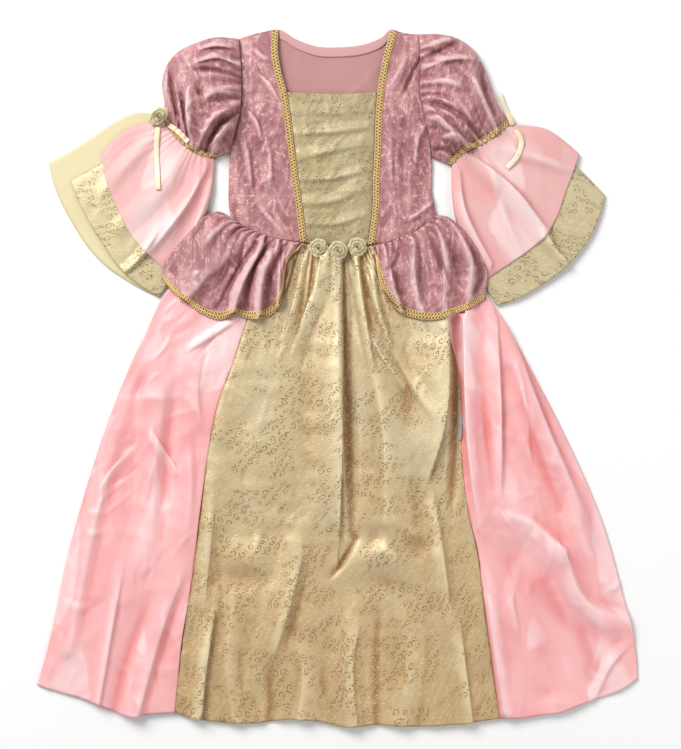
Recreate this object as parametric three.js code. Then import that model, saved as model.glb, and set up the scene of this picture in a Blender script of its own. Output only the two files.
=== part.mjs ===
// A child's princess dress, lying on its back on a flat surface.
// Millimetres. +Y points to the neck, +X to the wearer's left and +Z up from the surface.
// Every cloth piece is a wall over a patch between four edge curves. Its underside is a
// height field: a base form, the folds that cross it, and the pieces that it lies on.
import * as THREE from "three";

// Thickness of each cloth, measured square to its surface
const velvet = 1.8;
const brocade = 1.4;
const satin = 1.2;
const frill = 1.0;
const braid = 1.2;
const ribbon = 1.0;
const tape = 1.0;

// Clear height between cloths that lie on each other, with more where folds cross coarse faces
const gap = 0.3;
const foldClearance = 0.5;
// Each outline is drawn in by this, so that neighbours stay apart along their seam
const seamInset = 0.2;
const sleeveInset = 0.6;
const waistInset = 0.6;

// Clear space between the front and the back of each hollow part
const skirtRoom = 5.2;
const bodiceRoom = 5.2;
const puffRoom = 33;
// Share of the puff's height that its gathered edges keep at the armhole and at the cuff
const armholeShare = 0.16;
const cuffShare = 0.2;
const flounceRoom = 6;
const peplumRoom = 4;
// Share of its rise that a flounce loses from the cuff down to its hem
const flounceFall = 0.4;
// How full each rounded rise is: a low power is a boxy arch, a high one a peaked one
const puffAcross = 0.7;
const puffAround = 0.6;
const flounceArch = 0.6;
const peplumArch = 0.5;
const armholeArch = 0.5;
// Shares of a panel over which its cloth rises from a folded edge
const skirtEdgeShare = 0.35;
const bodiceEdgeShare = 0.5;
const shoulderShare = 0.15;
const peplumSideShare = 0.15;
// Share of the bodice's side edge that is armhole, and how far the sleeve holds it up
const armholeEnd = 0.6;
const armholeLift = 0.7;

// Widths of the trims
const bodiceBraidWidth = 9.5;
const peplumBraidWidth = 9.5;
const cuffBraidWidth = 8;
const facingWidth = 13;
const ribbonWidth = 7;
const labelWidth = 5;

// Rosettes of gathered ribbon
const waistRosetteRadius = 12;
const waistRosetteHeight = 7;
const sleeveRosetteRadius = 15;
const sleeveRosetteHeight = 8;
const sleeveRosetteSquash = 0.64;
const rosettePetals = 8;
// A rosette's rings outwards: share of its radius, share of its height
const rosetteRings = [[0.35, 0.75], [0.6, 1], [0.85, 0.7], [1, 0.35]];
const rosetteHeartShare = 0.6;
const petalDip = 0.78;
const petalNotch = 0.9;

// Edge tables. Each row is a point, x then y. The left and right edges hold their corners,
// and the top and bottom edges hold only the points between them.
const bodice = {
  right: {
    armSide: [[-134, 458], [-131, 425], [-130, 393], [-132, 360], [-139, 331], [-146, 304],
      [-148, 266], [-148, 235], [-144, 209]],
    neckSeam: [[-80, 471], [-81, 441], [-76, 412], [-69, 385], [-63, 347], [-58, 306],
      [-53, 266], [-47, 225], [-42, 181]],
    shoulder: [[-108, 466]],
    waist: [[-112, 196], [-78, 186]],
  },
  left: {
    armSide: [[109, 464], [111, 428], [110, 390], [116, 356], [124, 323], [127, 289],
      [127, 255], [130, 234], [134, 216]],
    neckSeam: [[72, 471], [63, 441], [57, 412], [53, 385], [50, 347], [49, 306],
      [47, 266], [46, 223], [40, 178]],
    shoulder: [[90, 466]],
    waist: [[105, 197], [73, 184]],
  },
};
const stomacherEdges = {
  left: [[-69, 385], [-63, 347], [-58, 306], [-53, 266], [-47, 225], [-42, 181]],
  right: [[53, 385], [50, 347], [49, 306], [47, 266], [46, 223], [40, 178]],
  top: [[-8, 383]],
  bottom: [[-1, 176]],
};
const backNeck = [[-108, 466], [-80, 471], [-57, 458], [-28, 448], [3, 447], [32, 450],
  [57, 459], [72, 471], [90, 466]];
const backWaist = [[-92, 189], [-42, 181], [-1, 176], [40, 178], [90, 190]];

const sleeve = {
  right: {
    arm: [[-134, 458], [-131, 425], [-130, 393], [-132, 360], [-139, 331], [-146, 304]],
    cuff: [[-236, 347], [-220, 324], [-200, 306], [-181, 298], [-167, 296]],
    outer: [[-165, 460], [-193, 452], [-217, 440], [-232, 421], [-238, 396], [-235, 371]],
    under: [[-157, 300]],
  },
  left: {
    arm: [[109, 464], [111, 428], [110, 390], [116, 356], [124, 323], [127, 297]],
    cuff: [[235, 342], [216, 327], [193, 313], [171, 302], [154, 286]],
    outer: [[138, 464], [163, 458], [184, 443], [197, 421], [207, 394], [217, 369]],
    under: [[140, 292]],
  },
};
const flounce = {
  right: {
    pink: {
      outer: [[-236, 347], [-258, 344], [-281, 338], [-302, 323], [-320, 302]],
      inner: [[-167, 296], [-169, 266], [-174, 236], [-185, 205], [-201, 169], [-224, 131]],
      hem: [[-316, 274], [-306, 244], [-293, 216], [-277, 188], [-256, 165], [-240, 150]],
    },
    gold: {
      outer: [[-236, 347], [-278, 317], [-320, 290], [-363, 266]],
      inner: [[-167, 296], [-173, 236], [-200, 169], [-243, 108]],
      hem: [[-347, 228], [-325, 190], [-301, 154], [-273, 127]],
    },
    goldBack: {
      outer: [[-236, 347], [-258, 358], [-281, 356], [-305, 344], [-329, 328], [-360, 308],
        [-392, 290]],
      inner: [[-167, 296], [-173, 236], [-200, 169], [-243, 108]],
      hem: [[-386, 263], [-373, 231], [-356, 201], [-338, 174], [-316, 151], [-292, 134],
        [-267, 119]],
    },
  },
  left: {
    pink: {
      outer: [[235, 342], [261, 340], [284, 335], [306, 320], [327, 302]],
      inner: [[154, 286], [154, 252], [158, 219], [169, 186], [182, 157], [197, 130]],
      hem: [[317, 274], [306, 244], [296, 216], [279, 189], [255, 169], [228, 150]],
    },
    gold: {
      outer: [[235, 342], [279, 317], [323, 285], [362, 246]],
      inner: [[154, 286], [158, 219], [182, 155], [215, 96]],
      hem: [[356, 223], [344, 194], [327, 169], [304, 144], [275, 124], [246, 107]],
    },
    goldBack: {
      outer: [[235, 342], [277, 314], [319, 283], [357, 246]],
      inner: [[154, 286], [158, 219], [182, 155], [215, 98]],
      hem: [[351, 223], [340, 196], [324, 172], [302, 148], [274, 128], [246, 111]],
    },
  },
};

const skirt = {
  right: {
    outline: [[-144, 208], [-180, 174], [-211, 140], [-238, 107], [-256, 70], [-278, 23],
      [-298, -24], [-319, -82], [-338, -140], [-355, -198], [-370, -256], [-382, -315],
      [-394, -369], [-408, -418]],
    seam: [[-78, 185], [-103, 131], [-124, 74], [-142, 20], [-161, -31], [-173, -85],
      [-181, -139], [-188, -193], [-194, -247], [-202, -301], [-211, -355], [-216, -404],
      [-221, -454]],
    waist: [[-112, 196]],
    hem: [[-375, -428], [-344, -436], [-313, -448], [-282, -458], [-252, -456]],
  },
  left: {
    outline: [[134, 215], [159, 174], [185, 135], [209, 100], [234, 61], [259, 14],
      [289, -42], [317, -99], [340, -150], [359, -198], [373, -244], [385, -290],
      [397, -335], [404, -373], [406, -410]],
    seam: [[70, 183], [111, 128], [142, 74], [158, 30], [165, -20], [166, -72],
      [170, -132], [177, -186], [189, -240], [197, -301], [205, -362], [212, -413],
      [219, -462]],
    waist: [[105, 197]],
    hem: [[382, -425], [355, -435], [328, -444], [302, -454], [274, -458], [247, -462]],
  },
};
const skirtWaist = [[-42, 180], [-1, 175], [40, 177]];
const skirtHem = [[-190, -463], [-148, -468], [-105, -468], [-65, -463], [-27, -466],
  [9, -473], [57, -471], [104, -473], [148, -471], [185, -467]];
const skirtBackWaist = [[-92, 188], [-42, 180], [-1, 175], [40, 177], [90, 189]];
const skirtBackHem = [[-344, -434], [-282, -452], [-221, -450], [-148, -460], [-65, -460],
  [9, -465], [104, -465], [185, -461], [247, -455], [302, -448], [355, -429]];

const peplum = {
  right: {
    side: [[-147, 216], [-163, 223], [-182, 215], [-202, 194], [-223, 170], [-236, 150],
      [-236, 130]],
    front: [[-47, 181], [-51, 176], [-55, 171]],
    waist: [[-112, 197], [-78, 186]],
    hem: [[-219, 111], [-197, 94], [-178, 82], [-159, 77], [-140, 82], [-120, 78],
      [-100, 79], [-84, 89], [-74, 107], [-72, 131], [-68, 154]],
  },
  left: {
    side: [[134, 219], [150, 216], [166, 202], [181, 184], [193, 162], [202, 136],
      [198, 105]],
    front: [[46, 177], [49, 170], [51, 163]],
    waist: [[105, 197], [76, 184]],
    hem: [[180, 94], [158, 85], [135, 77], [111, 77], [88, 84], [70, 99], [58, 120],
      [53, 142]],
  },
};
const peplumBackEdges = {
  left: [[-144, 207], [-170, 166], [-192, 123]],
  right: [[134, 214], [159, 169], [182, 117]],
  top: [[-92, 188], [-42, 180], [-1, 175], [40, 177], [90, 189]],
  bottom: [[-132, 80], [-65, 58], [0, 53], [65, 58], [127, 80]],
};

// Small trims
const waistRosetteCentres = [[-26, 174], [0, 171], [26, 176]];
const sleeveRosetteCentre = [-242, 351];
const sleeveRosetteTurn = 0.6;
// Its rise per millimetre towards +X and +Y, as it leans on the side of the puff
const sleeveRosetteTilt = [0.6, 0.25];
const ribbonTails = {
  ribbon_right_long: [[-243, 338], [-245, 306], [-242, 252]],
  ribbon_right_short: [[-228, 340], [-216, 331], [-202, 317]],
  ribbon_left_up: [[236.5, 341], [228, 362], [219.5, 384]],
  ribbon_left_down: [[240, 334], [248, 318], [242, 298], [228, 282]],
};
const labelLine = [[165, -48], [166, -66], [165, -85]];

// Fold tables. Each row is one fold: three points along its line, how far it spreads to each
// side, its height (negative for a trough), the share of that height left at its start and at
// its end, and its lean (above 0 it is steep on its left as its line runs, below 0 on its right).
const foldColumns = ["x0", "y0", "x1", "y1", "x2", "y2", "spread", "height", "start", "end", "lean"];
const skirtFolds = table(foldColumns, [
  [-22, 163, -32, 109, -61, 28, 12, 7, 0.6, 0, -0.4],
  [-1, 166, -7, -31, -3, -231, 27, 13, 0.5, 0.2, 0.6],
  [24, 166, 30, 104, 49, 7, 12, 7, 0.6, 0, 0.2],
  [38, 63, 68, -72, 68, -228, 32, 9, 0.1, 0.5, -0.2],
  [9, -242, 57, -232, 103, -242, 24, 6, 0.3, 0.3, -0.4],
  [134, 77, 132, -31, 115, -147, 27, 13, 0.9, 0.1, 0.5],
  [122, -139, 138, -247, 154, -369, 24, 7, 0.3, 0, 0.3],
  [-167, -126, -178, -247, -189, -355, 20, 5, 0, 0.3, 0.3],
  [-165, -301, -180, -369, -190, -462, 20, 7, 0.1, 0.9, 0.5],
  [-46, -188, -70, -301, -111, -423, 30, 9, 0, 0.2, 0.3],
  [-157, -250, -119, -247, -78, -240, 20, 4, 0, 0, -0.5],
  [-138, -288, -148, -382, -138, -466, 20, 4, 0, 0.9, 0],
  [32, -296, 14, -382, 19, -471, 26, 6, 0, 0.9, 0.3],
  [-51, -355, -43, -409, -51, -466, 22, 5, 0, 0.9, -0.3],
  [89, -301, 100, -382, 86, -471, 26, 5, 0, 0.9, 0],
  [159, -301, 167, -382, 178, -466, 20, 5, 0, 0.9, 0.4],
  [-224, 74, -248, -85, -261, -247, 24, 9, 0.2, 0.1, 0.4],
  [-202, -242, -240, -335, -275, -458, 28, 11, 0, 1, 0.5],
  [-289, -247, -308, -348, -324, -441, 18, 6, 0, 0.9, 0.4],
  [-284, -24, -329, -193, -364, -369, 22, 6, 0.1, 0.5, 0.2],
  [-256, -69, -234, -103, -212, -136, 15, 5, 0, 0, 0.4],
  [-184, 34, -192, -18, -186, -72, 18, 4, 0.1, 0, 0.4],
  [187, 80, 192, -72, 204, -204, 18, 12, 0.9, 0.2, -0.4],
  [232, 82, 236, -31, 234, -160, 18, 8, 0.3, 0.1, 0.4],
  [240, 66, 282, -55, 338, -198, 22, 9, 0.3, 0.1, 0.4],
  [216, -184, 259, -196, 298, -226, 22, 8, 0.3, 0.3, 0.3],
  [306, -238, 332, -304, 390, -335, 28, 11, 0.3, 0.4, 0.3],
  [290, -270, 296, -330, 273, -456, 32, 5, 0, 0.6, 0],
  [392, -355, 370, -387, 348, -431, 16, 4, 0, 0.9, 0.4],
  [220, -247, 225, -342, 235, -452, 18, 6, 0.1, 0.9, -0.3],
]);
const peplumFolds = table(foldColumns, [
  [-124, 185, -165, 155, -208, 109, 30, 9, 0.2, 0.8, 0.3],
  [-103, 180, -130, 131, -144, 88, 12, 11, 0.5, 0.9, 0.3],
  [-82, 180, -103, 138, -109, 80, 12, 11, 0.5, 0.9, 0.2],
  [-63, 176, -77, 144, -84, 97, 9, 9, 0.5, 0.9, 0],
  [-143, 207, -167, 196, -192, 171, 16, 7, 0.5, 0.4, 0],
  [63, 171, 70, 131, 84, 88, 12, 10, 0.5, 0.8, 0.2],
  [100, 182, 100, 131, 113, 82, 15, 9, 0.5, 0.8, 0.2],
  [154, 204, 177, 155, 176, 107, 14, 11, 0.4, 0.7, 0.2],
  [135, 207, 146, 155, 143, 88, 11, 8, 0.5, 0.6, -0.2],
]);
const sleeveFolds = {
  right: table(foldColumns, [
    [-135, 444, -165, 448, -194, 439, 10, 6, 0.4, 0, 0.3],
    [-132, 420, -162, 431, -200, 420, 10, 6, 0.4, 0, 0.3],
    [-131, 385, -165, 382, -186, 366, 11, 6, 0.4, 0, 0.2],
    [-132, 370, -167, 347, -189, 312, 10, 8, 0.4, 0.6, 0.3],
    [-140, 344, -157, 325, -169, 304, 9, 7, 0.4, 0.6, 0],
    [-197, 315, -200, 352, -198, 398, 10, 8, 0.6, 0, 0.2],
    [-211, 385, -208, 350, -204, 324, 9, -7, 0.1, 0.8, 0],
    [-229, 420, -231, 387, -225, 355, 10, 6, 0.1, 0.4, 0],
  ]),
  left: table(foldColumns, [
    [115, 417, 151, 428, 189, 428, 10, 6, 0.3, 0, -0.3],
    [116, 447, 138, 452, 158, 456, 9, 5, 0.4, 0, 0],
    [192, 423, 198, 387, 209, 360, 9, -6, 0, 0.3, 0],
    [122, 371, 158, 355, 190, 324, 10, -7, 0.2, 0.8, 0],
    [119, 363, 146, 333, 170, 308, 11, 8, 0.3, 0.6, 0.2],
    [178, 412, 192, 374, 213, 333, 10, 8, 0.1, 0.6, 0.2],
    [122, 396, 148, 396, 178, 385, 15, 5, 0.3, 0, 0],
  ]),
};
const bodiceFolds = table(foldColumns, [
  [-128, 366, -111, 344, -103, 312, 12, 4, 0.3, 0, 0.3],
  [-116, 414, -94, 396, -78, 369, 12, 4, 0, 0.2, 0.3],
  [-131, 336, -122, 293, -116, 239, 13, 3.5, 0.2, 0, 0.2],
  [-108, 236, -94, 217, -76, 196, 12, 3, 0, 0.5, 0.2],
  [97, 439, 86, 417, 68, 385, 12, 4, 0, 0.2, -0.3],
  [122, 347, 108, 320, 103, 271, 12, 3.5, 0.3, 0, 0],
  [73, 360, 70, 293, 76, 220, 13, 3, 0, 0.1, 0.2],
  [-65, 360, -8, 358, 51, 363, 14, 3, 0.3, 0.3, -0.3],
  [-61, 328, -8, 332, 50, 339, 13, 4, 0.3, 0.3, -0.4],
  [-58, 293, -8, 306, 49, 317, 13, 4, 0.3, 0.3, -0.4],
  [-51, 266, -3, 269, 47, 282, 12, 4, 0.2, 0.4, -0.4],
  [-49, 234, -5, 239, 47, 258, 13, 4, 0.4, 0.3, -0.4],
  [-45, 207, -3, 207, 43, 223, 13, 3.5, 0.3, 0.3, -0.4],
]);
const flounceFolds = {
  right: table(foldColumns, [
    [-178, 285, -208, 231, -256, 169, 14, 6, 0.3, 0.5, 0.3],
    [-205, 306, -240, 252, -292, 204, 20, 4, 0.2, 0.4, 0],
    [-170, 263, -192, 204, -221, 150, 10, 4, 0.3, 0.5, 0],
    [-243, 333, -278, 296, -316, 252, 18, 4, 0.2, 0.4, 0],
  ]),
  left: table(foldColumns, [
    [181, 296, 235, 250, 286, 188, 18, 7, 0.4, 0.5, 0.4],
    [166, 277, 176, 220, 207, 153, 14, 6, 0.4, 0.5, 0.3],
    [219, 309, 270, 296, 319, 279, 16, 4, 0.3, 0.4, 0],
    [200, 293, 227, 212, 251, 163, 12, 3, 0.2, 0.3, 0],
  ]),
};

// Colours, by cloth
const finishes = {
  velvet: { color: 0xbf7a88, roughness: 0.85 },
  goldBrocade: { color: 0xcdb98f, roughness: 0.5, metalness: 0.25 },
  pinkSatin: { color: 0xf6b9bf, roughness: 0.35 },
  paleFrill: { color: 0xf3cfcd, roughness: 0.6 },
  goldFrill: { color: 0xd7cda0, roughness: 0.55, metalness: 0.1 },
  braid: { color: 0xb89a5c, roughness: 0.45, metalness: 0.5 },
  facing: { color: 0xd8a4a4, roughness: 0.8 },
  rosette: { color: 0xcfc79b, roughness: 0.45 },
  ribbon: { color: 0xe9dfc0, roughness: 0.45 },
  label: { color: 0xa9a7a6, roughness: 0.7 },
};

const foldSteps = 12;
// A steep wall is at most this many times taller, upright, than it is thick
const steepestWall = 1.8;
// An edge point moves at most this share of the way to its neighbour
const largestPull = 0.4;

function table(columns, rows) {
  return rows.map((row) => Object.fromEntries(columns.map((name, k) => [name, row[k]])));
}

function spline(points) {
  return new THREE.SplineCurve(points.map(([x, y]) => new THREE.Vector2(x, y)));
}

function clamp01(t) {
  return Math.min(Math.max(t, 0), 1);
}

// Rises fast from 0 and levels out at 1
function swell(t) {
  return Math.sin((clamp01(t) * Math.PI) / 2);
}

// 0 at both ends and 1 between them, fuller as the power falls
function arch(t, power) {
  return Math.sin(Math.PI * clamp01(t)) ** power;
}

// Adds to each fold the points along its line
function traceFold(fold) {
  const line = spline([[fold.x0, fold.y0], [fold.x1, fold.y1], [fold.x2, fold.y2]]);
  return { ...fold, path: line.getSpacedPoints(foldSteps) };
}

// Nearest place on a fold's line: its distance, on which side it lies and how far along
function nearestOnFold(fold, x, y) {
  let best = { distance: Infinity, side: 1, along: 0 };
  for (let k = 0; k < foldSteps; k += 1) {
    const a = fold.path[k];
    const b = fold.path[k + 1];
    const dx = b.x - a.x;
    const dy = b.y - a.y;
    const t = clamp01(((x - a.x) * dx + (y - a.y) * dy) / (dx * dx + dy * dy));
    const distance = Math.hypot(x - a.x - dx * t, y - a.y - dy * t);
    if (distance < best.distance) {
      const side = Math.sign(dx * (y - a.y) - dy * (x - a.x)) || 1;
      best = { distance, side, along: (k + t) / foldSteps };
    }
  }
  return best;
}

function foldHeight(fold, x, y) {
  const { distance, side, along } = nearestOnFold(fold, x, y);
  const reach = distance / (fold.spread * (1 - side * fold.lean));
  if (reach >= 1) {
    return 0;
  }
  const kept = along < 0.5 ? fold.start : fold.end;
  const taper = kept + (1 - kept) * Math.sin(Math.PI * along);
  return (fold.height * taper * (1 + Math.cos(Math.PI * reach))) / 2;
}

// A curve whose even steps fall on its own points
class KnotCurve extends THREE.SplineCurve {
  getPointAt(t, target) {
    return this.getPoint(t, target);
  }
}

// The four edges of a patch as curves that meet at its corners
function edgesOf({ left, right, top, bottom, topByKnots = false }) {
  const topLine = spline([left[0], ...top, right[0]]);
  return {
    left: spline(left),
    right: spline(right),
    top: topByKnots ? new KnotCurve(topLine.points) : topLine,
    bottom: spline([left.at(-1), ...bottom, right.at(-1)]),
  };
}

// A point of the patch, blended between its four edges
function patchPoint(edges, u, v) {
  const across = edges.top.getPointAt(u).multiplyScalar(1 - v);
  across.add(edges.bottom.getPointAt(u).multiplyScalar(v));
  const down = edges.left.getPointAt(v).multiplyScalar(1 - u);
  down.add(edges.right.getPointAt(v).multiplyScalar(u));
  const corners = edges.left.getPointAt(0).multiplyScalar((1 - u) * (1 - v));
  corners.add(edges.right.getPointAt(0).multiplyScalar(u * (1 - v)));
  corners.add(edges.left.getPointAt(1).multiplyScalar((1 - u) * v));
  corners.add(edges.right.getPointAt(1).multiplyScalar(u * v));
  return across.add(down).sub(corners);
}

// Shares along one direction, with the last step, or the first, as wide as the trim on it
function shares(count, trim, length, atStart) {
  const margin = trim / length;
  if (!trim) {
    return Array.from({ length: count + 1 }, (_, k) => k / count);
  }
  const rest = Array.from({ length: count }, (_, k) => (k / (count - 1)) * (1 - margin));
  return atStart ? [0, ...rest.map((share) => share + margin)] : [...rest, 1];
}

// The grid of a patch, each point with its shares u and v. A trim fixes the outermost step.
function patchGrid(edges, columns, rows, { rightTrim = 0, bottomTrim = 0, topTrim = 0 }) {
  const grid = [];
  for (let j = 0; j <= rows; j += 1) {
    const row = [];
    for (let i = 0; i <= columns; i += 1) {
      const evenU = i / columns;
      const evenV = j / rows;
      const height = edges.top.getPointAt(evenU).distanceTo(edges.bottom.getPointAt(evenU));
      const width = edges.left.getPointAt(evenV).distanceTo(edges.right.getPointAt(evenV));
      const v = shares(rows, bottomTrim || topTrim, height, topTrim > 0)[j];
      const u = shares(columns, rightTrim, width, false)[i];
      const { x, y } = patchPoint(edges, u, v);
      row.push({ x, y, u, v, width, onRightTrim: rightTrim > 0 && i >= columns - 1 });
    }
    grid.push(row);
  }
  return grid;
}

// Draws the grid's outermost points in towards their inner neighbours
function drawIn(grid, inset, topInset) {
  const rows = grid.length - 1;
  const columns = grid[0].length - 1;
  for (let j = 0; j <= rows; j += 1) {
    pull(grid[j][0], grid[j][1], inset);
    pull(grid[j][columns], grid[j][columns - 1], inset);
  }
  for (let i = 0; i <= columns; i += 1) {
    pull(grid[0][i], grid[1][i], topInset);
    pull(grid[rows][i], grid[rows - 1][i], inset);
  }
}

function pull(point, towards, distance) {
  const length = Math.hypot(towards.x - point.x, towards.y - point.y);
  const share = Math.min(distance / length, largestPull);
  point.x += (towards.x - point.x) * share;
  point.y += (towards.y - point.y) * share;
}

// The two faces of each cell of a grid, always along the same diagonal
function cellFaces(grid) {
  const faces = [];
  for (let j = 0; j < grid.length - 1; j += 1) {
    for (let i = 0; i < grid[0].length - 1; i += 1) {
      const a = grid[j][i];
      const b = grid[j][i + 1];
      const c = grid[j + 1][i + 1];
      const d = grid[j + 1][i];
      faces.push([a, b, c], [a, c, d]);
    }
  }
  return faces;
}

// Height of a wall's outer side above a place, or minus infinity beside it
function topAt(piece, x, y) {
  let height = -Infinity;
  for (const [a, b, c] of piece.faces) {
    const nearX = x >= Math.min(a.x, b.x, c.x) && x <= Math.max(a.x, b.x, c.x);
    const nearY = y >= Math.min(a.y, b.y, c.y) && y <= Math.max(a.y, b.y, c.y);
    if (nearX && nearY) {
      const area = (b.x - a.x) * (c.y - a.y) - (c.x - a.x) * (b.y - a.y);
      const s = ((x - a.x) * (c.y - a.y) - (c.x - a.x) * (y - a.y)) / area;
      const t = ((b.x - a.x) * (y - a.y) - (x - a.x) * (b.y - a.y)) / area;
      if (s >= 0 && t >= 0 && s + t <= 1) {
        height = Math.max(height, a.high + s * (b.high - a.high) + t * (c.high - a.high));
      }
    }
  }
  return height;
}

// Highest outer side of the pieces beneath, within a reach of a place: at the corners of
// their faces, at the place itself and on the circle round it
const probeCount = 12;
function highestBeneath(pieces, x, y, reach) {
  const probes = [[x, y]];
  for (let k = 0; k < probeCount; k += 1) {
    const turn = (k / probeCount) * 2 * Math.PI;
    probes.push([x + reach * Math.cos(turn), y + reach * Math.sin(turn)]);
  }
  let highest = -Infinity;
  for (const piece of pieces) {
    for (const [px, py] of probes) {
      highest = Math.max(highest, topAt(piece, px, py));
    }
    for (const point of piece.grid.flat()) {
      if (Math.hypot(point.x - x, point.y - y) <= reach) {
        highest = Math.max(highest, point.high);
      }
    }
  }
  return highest;
}

// Vertical size of a wall at a point, so that it keeps its thickness where it is steep
function wallHeight(grid, j, i, thickness) {
  const before = grid[j][Math.max(i - 1, 0)];
  const after = grid[j][Math.min(i + 1, grid[0].length - 1)];
  const above = grid[Math.max(j - 1, 0)][i];
  const below = grid[Math.min(j + 1, grid.length - 1)][i];
  const along = new THREE.Vector3(after.x - before.x, after.y - before.y, after.low - before.low);
  const down = new THREE.Vector3(below.x - above.x, below.y - above.y, below.low - above.low);
  const normal = along.cross(down).normalize();
  return thickness * Math.min(1 / Math.abs(normal.z), steepestWall);
}

// One cloth piece. Its base is a function of a grid point, and its folds of the place alone.
function clothPanel(options) {
  const { edges, columns, rows, thickness, base, folds = [], beneath = [], reach = 0 } = options;
  const { trims = {}, inset = seamInset, topInset = inset } = options;
  const grid = patchGrid(edgesOf(edges), columns, rows, trims);
  drawIn(grid, inset, topInset);
  const traced = folds.map(traceFold);
  for (const point of grid.flat()) {
    const folded = traced.reduce((sum, fold) => sum + foldHeight(fold, point.x, point.y), 0);
    const lying = highestBeneath(beneath, point.x, point.y, reach) + foldClearance;
    point.low = Math.max(base(point) + folded, lying);
  }
  grid.forEach((row, j) => row.forEach((point, i) => {
    point.high = point.low + wallHeight(grid, j, i, thickness);
  }));
  return { grid, faces: cellFaces(grid) };
}

// A trim on part of a panel, made from the panel's own points, moved out by the gap
function stripOn(panel, { rows, columns, thickness, beneath = false }) {
  const [firstRow, lastRow] = rows;
  const [firstColumn, lastColumn] = columns;
  const part = panel.grid.slice(firstRow, lastRow + 1);
  const grid = part.map((row) => row.slice(firstColumn, lastColumn + 1).map((point) => {
    const low = beneath ? point.low - gap - thickness : point.high + gap;
    return { ...point, low, high: low + thickness };
  }));
  return { grid, faces: cellFaces(grid) };
}

// A narrow ribbon along a line, lying on what is beneath it
function ribbonAlong(line, width, thickness, beneath, steps) {
  const curve = spline(line);
  const grid = [];
  for (let j = 0; j <= steps; j += 1) {
    const centre = curve.getPointAt(j / steps);
    const direction = curve.getTangentAt(j / steps);
    const row = [-1, 0, 1].map((side) => ({
      x: centre.x - direction.y * side * (width / 2),
      y: centre.y + direction.x * side * (width / 2),
    }));
    for (const point of row) {
      const lying = highestBeneath(beneath, point.x, point.y, width / 2) + foldClearance;
      point.low = Math.max(0, lying);
      point.high = point.low + thickness;
    }
    grid.push(row);
  }
  return { grid, faces: cellFaces(grid) };
}

// The closed wall between the underside and the outer side of a grid
function wallGeometry(grid) {
  const rows = grid.length;
  const columns = grid[0].length;
  const points = grid.flat();
  const low = points.map((point) => [point.x, point.y, point.low]);
  const high = points.map((point) => [point.x, point.y, point.high]);
  const at = (j, i) => j * columns + i;
  const outer = rows * columns;
  const faces = [];
  const quad = (a, b, c, d) => faces.push([a, b, c], [a, c, d]);
  for (let j = 0; j < rows - 1; j += 1) {
    for (let i = 0; i < columns - 1; i += 1) {
      quad(outer + at(j, i), outer + at(j, i + 1), outer + at(j + 1, i + 1), outer + at(j + 1, i));
      faces.push([at(j, i), at(j + 1, i + 1), at(j, i + 1)], [at(j, i), at(j + 1, i), at(j + 1, i + 1)]);
    }
  }
  for (let i = 0; i < columns - 1; i += 1) {
    quad(at(0, i), at(0, i + 1), outer + at(0, i + 1), outer + at(0, i));
    quad(at(rows - 1, i + 1), at(rows - 1, i), outer + at(rows - 1, i), outer + at(rows - 1, i + 1));
  }
  for (let j = 0; j < rows - 1; j += 1) {
    quad(at(j + 1, 0), at(j, 0), outer + at(j, 0), outer + at(j + 1, 0));
    const near = at(j, columns - 1);
    const far = at(j + 1, columns - 1);
    quad(near, far, outer + far, outer + near);
  }
  return facedGeometry([...low, ...high], faces, gridTurn(grid));
}

// Below 0 where a grid's rows and columns run clockwise seen from above
function gridTurn(grid) {
  const last = grid.length - 1;
  const end = grid[0].length - 1;
  const a = grid[0][0];
  const b = grid[last][end];
  const c = grid[0][end];
  const d = grid[last][0];
  return (b.x - a.x) * (d.y - c.y) - (b.y - a.y) * (d.x - c.x);
}

function facedGeometry(points, faces, turn) {
  const ordered = turn < 0 ? faces.map(([a, b, c]) => [a, c, b]) : faces;
  const geometry = new THREE.BufferGeometry();
  geometry.setAttribute("position", new THREE.Float32BufferAttribute(points.flat(), 3));
  geometry.setIndex(ordered.flat());
  geometry.computeVertexNormals();
  return geometry;
}

// A rosette: a low round cushion of gathered petals that wind towards its middle
function rosetteGeometry({ centre, radius, height, squash = 1, turn = 0, tilt = [0, 0], rest }) {
  const sectors = rosettePetals * 2;
  const points = [[centre[0], centre[1], rest]];
  points.push([centre[0], centre[1], rest + height * rosetteHeartShare]);
  const place = (share, angle, z) => {
    const x = radius * share * Math.cos(angle);
    const y = radius * share * squash * Math.sin(angle);
    const aside = x * Math.cos(turn) - y * Math.sin(turn);
    const ahead = x * Math.sin(turn) + y * Math.cos(turn);
    return [centre[0] + aside, centre[1] + ahead, z + aside * tilt[0] + ahead * tilt[1]];
  };
  const angleOf = (k, ring) => ((k + ring / 2) / sectors) * 2 * Math.PI;
  for (let k = 0; k < sectors; k += 1) {
    points.push(place(k % 2 ? petalNotch : 1, angleOf(k, rosetteRings.length - 1), rest));
  }
  rosetteRings.forEach(([share, lift], ring) => {
    for (let k = 0; k < sectors; k += 1) {
      const petal = k % 2 ? petalDip : 1;
      const edge = share === 1 && k % 2 ? petalNotch : share;
      points.push(place(edge, angleOf(k, ring), rest + height * lift * petal));
    }
  });
  const faces = [];
  const foot = (k) => 2 + (k % sectors);
  const onRing = (ring, k) => 2 + sectors * (ring + 1) + (k % sectors);
  for (let k = 0; k < sectors; k += 1) {
    faces.push([0, foot(k + 1), foot(k)]);
    faces.push([1, onRing(0, k), onRing(0, k + 1)]);
    for (let ring = 0; ring < rosetteRings.length - 1; ring += 1) {
      faces.push([onRing(ring, k), onRing(ring + 1, k), onRing(ring + 1, k + 1)]);
      faces.push([onRing(ring, k), onRing(ring + 1, k + 1), onRing(ring, k + 1)]);
    }
    const rim = rosetteRings.length - 1;
    faces.push([foot(k), foot(k + 1), onRing(rim, k + 1)], [foot(k), onRing(rim, k + 1), onRing(rim, k)]);
  }
  return facedGeometry(points, faces, 1);
}

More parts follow.
